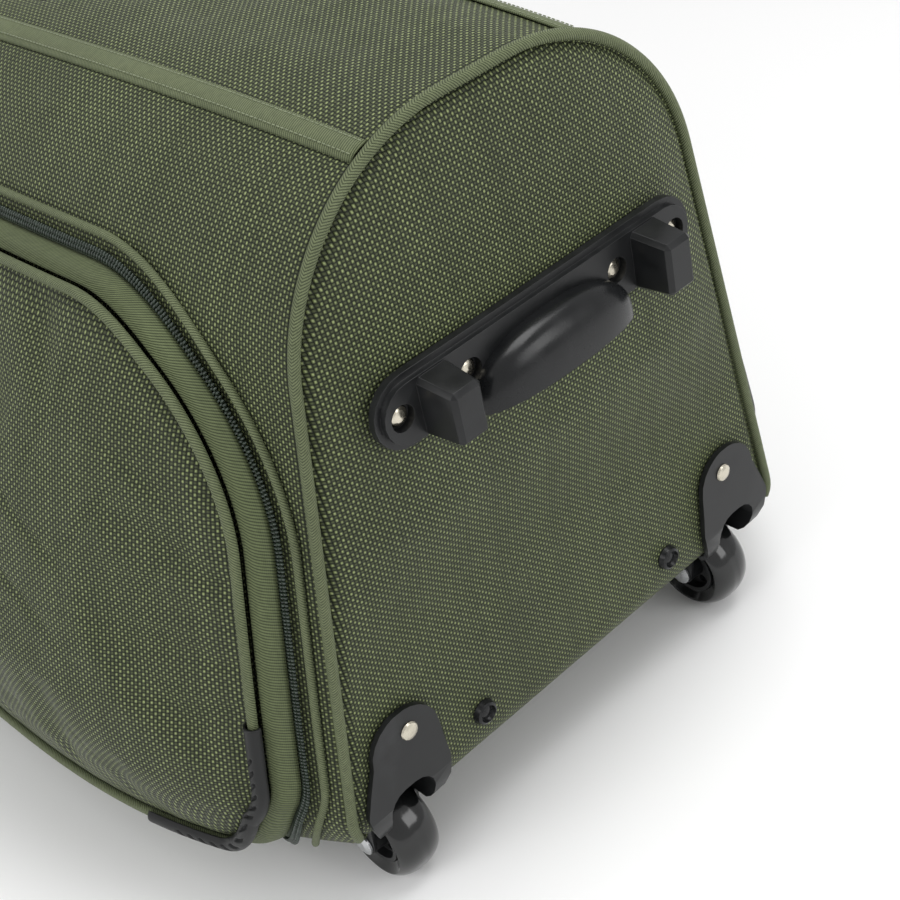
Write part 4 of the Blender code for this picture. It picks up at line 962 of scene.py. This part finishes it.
def settle(ob, pinned, pressure, cap):
    """Lets the cloth find its own folds while its edge is held; no point moves further than cap."""
    last_moment = 20
    group = ob.vertex_groups.new(name="held")
    group.add(pinned, 1.0, "REPLACE")
    before = [v.co.copy() for v in ob.data.vertices]
    cloth = ob.modifiers.new("cloth", "CLOTH")
    cloth.settings.quality = 6
    cloth.settings.mass = 0.35
    cloth.settings.tension_stiffness = 25
    cloth.settings.compression_stiffness = 25
    cloth.settings.bending_stiffness = 1.2
    cloth.settings.shrink_min = -0.014
    cloth.settings.use_pressure = True
    cloth.settings.uniform_pressure_force = pressure
    cloth.settings.vertex_group_mass = "held"
    cloth.settings.effector_weights.gravity = 0
    cloth.point_cache.frame_start = 1
    cloth.point_cache.frame_end = last_moment
    for moment in range(1, last_moment + 1):
        bpy.context.scene.frame_set(moment)
    evaluated = ob.evaluated_get(bpy.context.evaluated_depsgraph_get())
    after = [v.co.copy() for v in evaluated.data.vertices]
    ob.modifiers.clear()
    ob.vertex_groups.clear()
    bpy.context.scene.frame_set(1)
    for v, start, end in zip(ob.data.vertices, before, after):
        move = end - start
        if move.length > cap:
            move *= cap / move.length
        v.co = start + move


def crossed_creases(x, d):
    """Depth of the faint crossed folds pressed into the pocket's face, from 0 to about 1."""
    depth = 0.0
    apart = 0.055
    for slant, seed in ((0.9, 3.0), (-0.8, 8.0)):
        bent = noise.noise(Vector((x * 7, d * 7, seed)))
        run = (x + slant * d) / apart + 0.5 * bent
        away = abs(run - round(run)) * apart
        strength = max(0.0, noise.noise(Vector((x * 11, d * 11, seed + 5))) + 0.35)
        depth += math.exp(-(away / 0.0045) ** 2) * strength
    return depth


# Light tone: painted highlight on the rib crowns; dark tone: painted shade in the grooves.
gusset_tape = woven("twill_gusset", rib_group, (0.125, 0.150, 0.070), (0.015, 0.022, 0.010),
                    0.0003, 0.6, {"Rib": 0.0017, "Slant": 0.55, "Chevron": 0.0})


def face_spot(a, b, half):
    """A square's point on the pocket face: a from -1 rear to 1 front, b from -1 bottom to 1 top."""
    ring = max(abs(a), abs(b))
    if ring == 0:
        return pocket_middle.copy()
    radius = (pocket_top_r if b > 0 else pocket_low_r) - gusset_in - face_in
    edge = Vector((a / ring * half.x, b / ring * half.y))
    core = Vector((max(-half.x + radius, min(half.x - radius, edge.x)),
                   max(-half.y + radius, min(half.y - radius, edge.y))))
    off = edge - core
    if off.x and off.y:
        edge = core + off.normalized() * radius
    return pocket_middle + edge * ring


def pocket_face(label, side):
    half = Vector(((pocket_front_x - pocket_rear_x) / 2, (pocket_high_d - pocket_low_d) / 2))
    half -= Vector((gusset_in + face_in, gusset_in + face_in))
    columns, lines = 120, 76
    rows, cuts = [], []
    for j in range(lines + 1):
        row, cut = [], []
        for i in range(columns + 1):
            a, b = 2 * i / columns - 1, 2 * j / lines - 1
            spot = face_spot(a, b, half)
            ring = max(abs(a), abs(b))
            waves = 0.0022 * ripple(spot.x, spot.y, 31 + side, 0.11) * (1 - ring ** 6)
            swell = pocket_swell * (1 - ring ** 2.5) + waves
            seam = tucked((1 - ring) * half.y, 0.006, 0.0015)
            row.append(skin(spot.x, spot.y, side, gusset_out + 0.001 + swell + seam))
            cut.append((spot.x, spot.y))
        rows.append(row)
        cuts.append(cut)
    face = cloth_grid(label + "_pocket_face", rows, cuts)
    width = columns + 1
    rim = [i for i in range(width * (lines + 1)) if i % width in (0, columns) or i // width in (0, lines)]
    settle(face, rim, 2.0, 0.006)
    finer = face.modifiers.new("finer", "SUBSURF")
    finer.levels = 1
    finer.render_levels = 1
    made_plain(face)
    layer = face.data.uv_layers["cut"]
    flat_of = {loop.vertex_index: layer.data[loop.index].uv.copy() for loop in face.data.loops}
    normals = [v.normal.copy() for v in face.data.vertices]
    for v, normal in zip(face.data.vertices, normals):
        x, d = flat_of[v.index]
        to_rim = min(x - pocket_rear_x, pocket_front_x - x, d - pocket_low_d, pocket_high_d - d) - gusset_in
        v.co -= normal * crease_depth * crossed_creases(x, d) * ease((to_rim - 0.01) / 0.03)
    return give_wall(dress(face, panel_cloth, lining), 0.0020)


def thinned(row, count):
    """Count entries picked evenly from a longer row."""
    return [row[int(i * (len(row) - 1) / (count - 1))] for i in range(count)]


for label, side in sides.items():
    face = pocket_face(label, side)
    take_place(face, label + "_pocket_panel")

    edge = pocket_loop(gusset_in)
    places = [(skin(x, d, side, gusset_out + 0.0012), outward_at(d, side), 0.0027) for x, d in edge]
    piping = dress(tube_grid(label + "_pocket_cord", places, closed=True), piping_tape)
    take_place(piping, label + "_pocket_piping")

    rows, cuts = [], []
    for share in spread(0.0, 1.0, 9):
        inset = -0.0008 + (gusset_in - 0.0014) * share
        lift = 0.0026 + (gusset_out - 0.0050) * share + 0.0022 * math.sin(math.pi * min(1.0, share * 1.1))
        loop = pocket_loop(inset)
        loop += loop[:1]
        run = 0.0
        row, cut = [], []
        for i, (x, d) in enumerate(loop):
            if i:
                run += math.hypot(x - loop[i - 1][0], d - loop[i - 1][1])
            row.append(skin(x, d, side, lift))
            cut.append((run, share * 0.014))
        rows.append(row)
        cuts.append(cut)
    count = min(len(row) for row in rows)
    rows, cuts = [thinned(row, count) for row in rows], [thinned(cut, count) for cut in cuts]
    gusset = weld(cloth_grid(label + "_gusset", rows, cuts))
    give_wall(dress(gusset, gusset_tape, lining), 0.0012)
    take_place(gusset, label + "_pocket_gusset")

    loop = pocket_loop(-0.0042)
    path = [skin(x, d, side, 0.0034) for x, d in loop]
    outwards = [outward_at(d, side) for x, d in loop]
    outer = 1 if side > 0 else -1
    for part, shift, start in (("bag", -0.00125, 0.0), ("pocket", 0.00125, tooth_pitch / 2)):
        spots = tooth_spots(path, outwards, shift * outer, start)
        row = lay_beads(label + "_" + part + "_teeth", spots, 0.0034, 0.0014, 0.0022, teeth)
        take_place(row, label + "_pocket_zip_coil")
    strip = tape_strip(label + "_pocket_zip_tape", path, outwards, -0.0080 * outer, -0.0010 * outer, -0.0012)
    go_with(strip, "root")
    edge = pocket_loop(-0.0125)
    places = [(skin(x, d, side, 0.0020), outward_at(d, side), 0.0021) for x, d in edge]
    welt = dress(tube_grid(label + "_zip_welt", places, 12, closed=True), piping_tape)
    go_with(welt, "root")

# ---------------------------------------------------------------- moulded surfaces
# One fine-grained skin for every moulded piece: a spark-eroded grain, faint scuffs that
# dull or polish it, and edges rubbed a little lighter.
def moulded_skin():
    tree, given, result = new_group(
        "moulded_skin",
        [("Place", "Vector", None), ("Grain", "Float", 0.0007), ("Rough", "Float", 0.4),
         ("Spread", "Float", 0.1),
         ("Tone", "Color", (0.02, 0.02, 0.02, 1)), ("Rubbed", "Color", (0.06, 0.06, 0.06, 1))],
        [("Color", "Color"), ("Roughness", "Float"), ("Height", "Float")])
    grain = tree.nodes.new("ShaderNodeTexNoise")
    tree.links.new(given["Place"], grain.inputs["Vector"])
    tree.links.new(math_node(tree, "DIVIDE", 1.0, given["Grain"]), grain.inputs["Scale"])
    grain.inputs["Detail"].default_value = 2.0
    scuffs = mottle(tree, given["Place"], 0.012, 0.0, 1.0, 6.0)
    geometry = tree.nodes.new("ShaderNodeNewGeometry")
    edge = tree.nodes.new("ShaderNodeMapRange")
    tree.links.new(geometry.outputs["Pointiness"], edge.inputs["Value"])
    edge.inputs["From Min"].default_value = 0.52
    edge.inputs["From Max"].default_value = 0.62
    worn = math_node(tree, "MULTIPLY", edge.outputs[0], scuffs)
    patchy = math_node(tree, "MULTIPLY_ADD", scuffs, 0.22, math_node(tree, "MULTIPLY", worn, 0.8))
    tree.links.new(mix_color(tree, patchy, given["Tone"], given["Rubbed"]), result["Color"])
    centred = math_node(tree, "SUBTRACT", scuffs, 0.5)
    dulled = math_node(tree, "MULTIPLY_ADD", centred, given["Spread"], given["Rough"])
    tree.links.new(dulled, result["Roughness"])
    tree.links.new(grain.outputs[0], result["Height"])
    return tree


moulded_group = moulded_skin()


# Each finish gives its tone, its rubbed tone, its roughness and the scatter of that, and the
# size and depth of its grain; the tyre's polyurethane has a thin clear coat besides.
def moulded(name, tone, rubbed, rough, scatter, grain, depth, coat=0.0):
    material, tree, shader = new_material(name, rough)
    group = tree.nodes.new("ShaderNodeGroup")
    group.node_tree = moulded_group
    tree.links.new(tree.nodes.new("ShaderNodeTexCoord").outputs["Object"], group.inputs["Place"])
    for label, value in (("Grain", grain), ("Rough", rough), ("Spread", scatter),
                         ("Tone", (*tone, 1)), ("Rubbed", (*rubbed, 1))):
        group.inputs[label].default_value = value
    tree.links.new(group.outputs["Color"], shader.inputs["Base Color"])
    tree.links.new(group.outputs["Roughness"], shader.inputs["Roughness"])
    shader.inputs["Specular IOR Level"].default_value = 0.30
    shader.inputs["Coat Weight"].default_value = coat
    shader.inputs["Coat Roughness"].default_value = 0.12
    raise_surface(tree, shader, group.outputs["Height"], depth, 0.35)
    return material


def metal(name, tone, shade, rough, scatter):
    material = moulded(name, tone, shade, rough, scatter, 0.0009, 0.00004)
    material.node_tree.nodes["Principled BSDF"].inputs["Metallic"].default_value = 1.0
    return material


satin_black = moulded("satin_black_plastic", (0.008, 0.0085, 0.009), (0.024, 0.025, 0.026),
                      0.36, 0.14, 0.0007, 0.00012)
glossy_black = moulded("glossy_black_plastic", (0.007, 0.0075, 0.008), (0.020, 0.021, 0.022),
                       0.24, 0.12, 0.0010, 0.00006)
soft_rubber = moulded("soft_black_rubber", (0.007, 0.0075, 0.0075), (0.022, 0.023, 0.023),
                      0.44, 0.16, 0.0006, 0.00010)
tyre_rubber = moulded("tyre_polyurethane", (0.005, 0.0055, 0.0055), (0.016, 0.017, 0.017),
                      0.17, 0.14, 0.0020, 0.00005, 0.5)
nickel = metal("nickel_plate", (0.62, 0.58, 0.48), (0.36, 0.33, 0.27), 0.26, 0.2)
steel = metal("zinc_steel", (0.60, 0.61, 0.62), (0.38, 0.39, 0.40), 0.30, 0.2)
aluminium = metal("anodised_aluminium", (0.68, 0.69, 0.70), (0.55, 0.56, 0.57), 0.33, 0.1)
board_skin = moulded("stiffening_board", (0.030, 0.029, 0.027), (0.060, 0.058, 0.052),
                     0.75, 0.1, 0.003, 0.0003)


rounded_from = math.radians(32)


def finer_copy(node, material, edge):
    """The CAD piece with its corners rounded as a mould or a press leaves them."""
    ob = link(node + "_finished", frame["nodes"][node].data.copy())
    with edited(ob) as bm:
        bmesh.ops.remove_doubles(bm, verts=bm.verts, dist=0.00002)
        bmesh.ops.dissolve_limit(bm, angle_limit=math.radians(1.0), verts=bm.verts, edges=bm.edges)
    dress(ob, material)
    ob.data.shade_smooth()
    ob.data.set_sharp_from_angle(angle=rounded_from)
    rounding = ob.modifiers.new("rounding", "BEVEL")
    rounding.width = edge
    rounding.segments = 2
    rounding.limit_method = "ANGLE"
    rounding.angle_limit = rounded_from
    made_plain(ob)
    take_place(ob, node)


# ---------------------------------------------------------------- corner guards of the pockets
# A soft rubber channel is pressed over the piping round each lower corner of a pocket.
# Slanted slots are moulded into it where it bends, so that it follows the corner.
guard_r = 0.0050
guard_step = 0.0009
guard_run = 0.052
guard_rise = 0.040
slot_count = 19
slot_slant = 0.012
slot_depth = 0.0021
slot_half_w = 0.16


def slot_share(share, turn):
    """How far into a slot a place lies: share along the guard, turn in degrees round it."""
    place = (share * slot_count + slot_slant * (turn - 80)) % 1.0
    within = max(0.0, 1 - abs(place - 0.5) / slot_half_w)
    within *= ease((turn - 62) / 14) * ease((128 - turn) / 14)
    return min(1.0, 2 * within * (ease((share - 0.12) / 0.03) * ease((0.90 - share) / 0.03)))


for label, side in sides.items():
    for end, way in (("front", 1), ("rear", -1)):
        loop = pocket_loop(gusset_in, guard_step)
        if way < 0:
            loop = [(pocket_front_x + pocket_rear_x - x, d) for x, d in loop]
        low_turn = (pocket_front_x - pocket_low_r) if way > 0 else (pocket_rear_x + pocket_low_r)
        guard_top = pocket_low_d + pocket_low_r + guard_rise
        run_path = [(x, d) for x, d in loop if (x - low_turn) * way > -guard_run and d < guard_top]
        rows, cuts = [], []
        count = len(run_path)
        for i, (x, d) in enumerate(run_path):
            before = run_path[max(i - 1, 0)]
            after = run_path[min(i + 1, count - 1)]
            along = (skin(*after, side) - skin(*before, side)).normalized()
            outward = outward_at(d, side)
            away = along.cross(outward).normalized()
            inside = skin(pocket_middle.x, pocket_middle.y, side) - skin(x, d, side)
            if away.dot(inside) > 0:
                away.negate()
            lift = away.cross(along).normalized()
            if lift.dot(outward) < 0:
                lift.negate()
            centre = skin(x, d, side, gusset_out + 0.0012)
            row, cut = [], []
            for turn in spread(-20, 170, 39):
                a = math.radians(turn)
                share = i / (count - 1)
                radius = guard_r - slot_depth * slot_share(share, turn)
                row.append(centre + (away * math.cos(a) + lift * math.sin(a)) * radius)
                cut.append((share, turn / 100))
            rows.append(row)
            cuts.append(cut)
        channel = dress(cloth_grid(label + "_" + end + "_guard", rows, cuts), soft_rubber)
        guard = give_wall(channel, 0.0013, lined=False)
        take_place(guard, label + "_" + end + "_corner_guard")

# ---------------------------------------------------------------- base board and end handle
# A covered board stiffens the back from inside. A loop of heavy webbing is sewn flat to
# the handle end through a folded patch at each foot, with a crossed box of stitches.
finer_copy("base_board", board_skin, 0.0006)

# Light tone: painted highlight on the rib crowns; dark tone: painted shade in the grooves.
webbing = woven("olive_webbing", rib_group, (0.140, 0.165, 0.090), (0.020, 0.028, 0.014),
                0.0004, 0.6, {"Rib": 0.0021, "Slant": 0.0, "Chevron": 0.0})
handle_low, handle_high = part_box("end_handle")
handle_z = (handle_low.z + handle_high.z) / 2
handle_half_w = (handle_high.z - handle_low.z) / 2
foot_x = handle_high.x - 0.0002
handle_bow = foot_x - handle_low.x - 0.0030
rows, cuts = [], []
for up in spread(-1, 1, 25):
    row, cut = [], []
    for y in spread(handle_low.y, handle_high.y, 150):
        rise = ease((0.074 - abs(y)) / 0.040)
        rolled = 0.0016 * rise * up * up
        thick_edge = 0.0006 * (1 - abs(up) ** 8)
        x = foot_x - 0.0022 - handle_bow * rise * 0.97 + rolled - thick_edge
        row.append(Vector((x, y, handle_z + up * handle_half_w)))
        cut.append((y, up * handle_half_w))
    rows.append(row)
    cuts.append(cut)
end_webbing = give_wall(dress(cloth_grid("end_webbing", rows, cuts), webbing), 0.0022, lined=False)
take_place(end_webbing, "end_handle")
sewn_in, sewn_out, sewn_up = 0.082, 0.101, 0.010
spots = []
for foot in (-1, 1):
    crossed_box = ((sewn_out, sewn_up), (sewn_in, sewn_up), (sewn_in, -sewn_up),
                   (sewn_out, -sewn_up), (sewn_out, sewn_up), (sewn_in, -sewn_up))
    corners = [Vector((foot_x - 0.0031, foot * y, handle_z + z)) for y, z in crossed_box]
    spots += [(p, along, Vector((-1, 0, 0))) for p, along in along_path(corners, 0.0026)]
handle_stitches = lay_beads("handle_stitches", spots, 0.0023, 0.0007, 0.0006, thread)
go_with(handle_stitches, "root")

# ---------------------------------------------------------------- wheel housings and wheels
# Each housing is one satin moulding: a face plate, the well behind it and an arm each side
# of the wheel. The tyre is cast on its hub, which turns on a plated bolt.
for label, side in sides.items():
    finer_copy(label + "_wheel_housing", satin_black, 0.0006)
    finer_copy(label + "_wheel_hub", satin_black, 0.0004)
    finer_copy(label + "_axle_bolt", steel, 0.0004)
    finer_copy(label + "_housing_rivet", nickel, 0.0002)
    finer_copy(label + "_cup_washer", glossy_black, 0.0003)


def lathe(name, profile, centre, steps=96):
    """A closed (radius, y) profile turned about a line along Y through the centre."""
    rows = []
    for r, y in profile + profile[:1]:
        turns = spread(0, 2 * math.pi, steps + 1)
        rows.append([centre + Vector((r * math.cos(t), y, r * math.sin(t))) for t in turns])
    ob = cloth_grid(name, rows, [[(0, 0)] * (steps + 1) for row in rows], face_out=False)
    weld(ob, 0.000005, recalculate=True)
    ob.data.uv_layers.remove(ob.data.uv_layers["cut"])
    ob.data.set_sharp_from_angle(angle=math.radians(40))
    return ob


rim_r = 0.0185
tread_turn = 72
tread_drop = 0.0086
mould_line = 0.00025

for label in sides:
    low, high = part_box(label + "_wheel_tyre")
    centre = (low + high) / 2
    tyre_r = (high.z - low.z) / 2
    half_w = (high.y - low.y) / 2
    tread = []
    for t in spread(-tread_turn, tread_turn, 25):
        a = math.radians(t)
        flat = math.copysign(abs(math.sin(a)) ** 0.9, a) / math.sin(math.radians(tread_turn)) ** 0.9
        tread.append((tyre_r - tread_drop * (1 - math.cos(a)), flat * half_w))
    seam = [(r - (mould_line if abs(y) < 0.0004 else 0.0), y) for r, y in tread]
    wall_r = tread[-1][0]
    wall = [(wall_r - 0.0012, half_w - 0.0004), (rim_r + 0.0012, half_w - 0.0032), (rim_r, half_w - 0.0036)]
    profile = seam + wall + [(r, -y) for r, y in reversed(wall)]
    tyre = dress(lathe(label + "_tyre", profile, centre), tyre_rubber)
    take_place(tyre, label + "_wheel_tyre")

# ---------------------------------------------------------------- foot bar and grab cup
# A lipped black bar is riveted through the end panel. Two blocky feet stand out of it for
# the bag to stand on, and a polished cup between them hides a hollow for the fingers.
finer_copy("foot_bar", satin_black, 0.0007)
finer_copy("foot_bar_rivets", nickel, 0.0002)

cup_low, cup_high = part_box("grab_cup")
cup_half_l = (cup_high.y - cup_low.y) / 2
cup_out = 0.0180
cup_h = 0.0310
cup_rim_z = 0.2745
cup_fullness = 0.82
cup_slope = 0.18
cup_sharp = math.radians(50)
bm = bmesh.new()
bmesh.ops.create_uvsphere(bm, u_segments=120, v_segments=72, radius=1)
bmesh.ops.transform(bm, matrix=Matrix.Rotation(math.pi / 2, 4, "X"), verts=bm.verts)
for v in bm.verts:
    v.co = [math.copysign(abs(c) ** cup_fullness, c) for c in v.co]
bmesh.ops.transform(bm, matrix=Matrix.Diagonal((cup_out, cup_half_l, cup_h, 1)), verts=bm.verts)
for normal in ((-1, 0, 0), (0, 0, -1)):
    geometry = bm.verts[:] + bm.edges[:] + bm.faces[:]
    bmesh.ops.bisect_plane(bm, geom=geometry, plane_co=(0, 0, 0), plane_no=normal, clear_outer=True)
for v in bm.verts:
    v.co.z += v.co.x * cup_slope
    v.co += Vector((cup_low.x, 0, cup_rim_z))
bmesh.ops.remove_doubles(bm, verts=bm.verts, dist=0.00002)
cup = dress(link_bmesh("polished_cup", bm), glossy_black)
cup.data.shade_smooth()
give_wall(cup, 0.0026, lined=False)
cup.data.set_sharp_from_angle(angle=cup_sharp)
rim = cup.modifiers.new("rim", "BEVEL")
rim.width = 0.0006
rim.segments = 3
rim.limit_method = "ANGLE"
rim.angle_limit = cup_sharp
made_plain(cup)
take_place(cup, "grab_cup")

# ---------------------------------------------------------------- skid rails and trolley handle
# Two moulded channels under the back hold the trolley's tubes. The inner tubes carry a
# rubber grip with a release button, and it nests in a moulding at the handle end.
for label in sides:
    finer_copy(label + "_skid_rail", satin_black, 0.0004)
    finer_copy(label + "_outer_tube", aluminium, 0.0002)
    finer_copy(label + "_inner_tube", aluminium, 0.0002)
finer_copy("trolley_bezel", satin_black, 0.0008)
finer_copy("trolley_grip", soft_rubber, 0.0005)
finer_copy("grip_button", glossy_black, 0.0003)

# ---------------------------------------------------------------- zip sliders and pullers
# Cast sliders straddle the teeth, and a stamped plate hangs in the eye of each bridge.
for label in ("top_zip", "near_pocket", "far_pocket"):
    finer_copy(label + "_slider", nickel, 0.0003)
    finer_copy(label + "_puller", nickel, 0.0002)
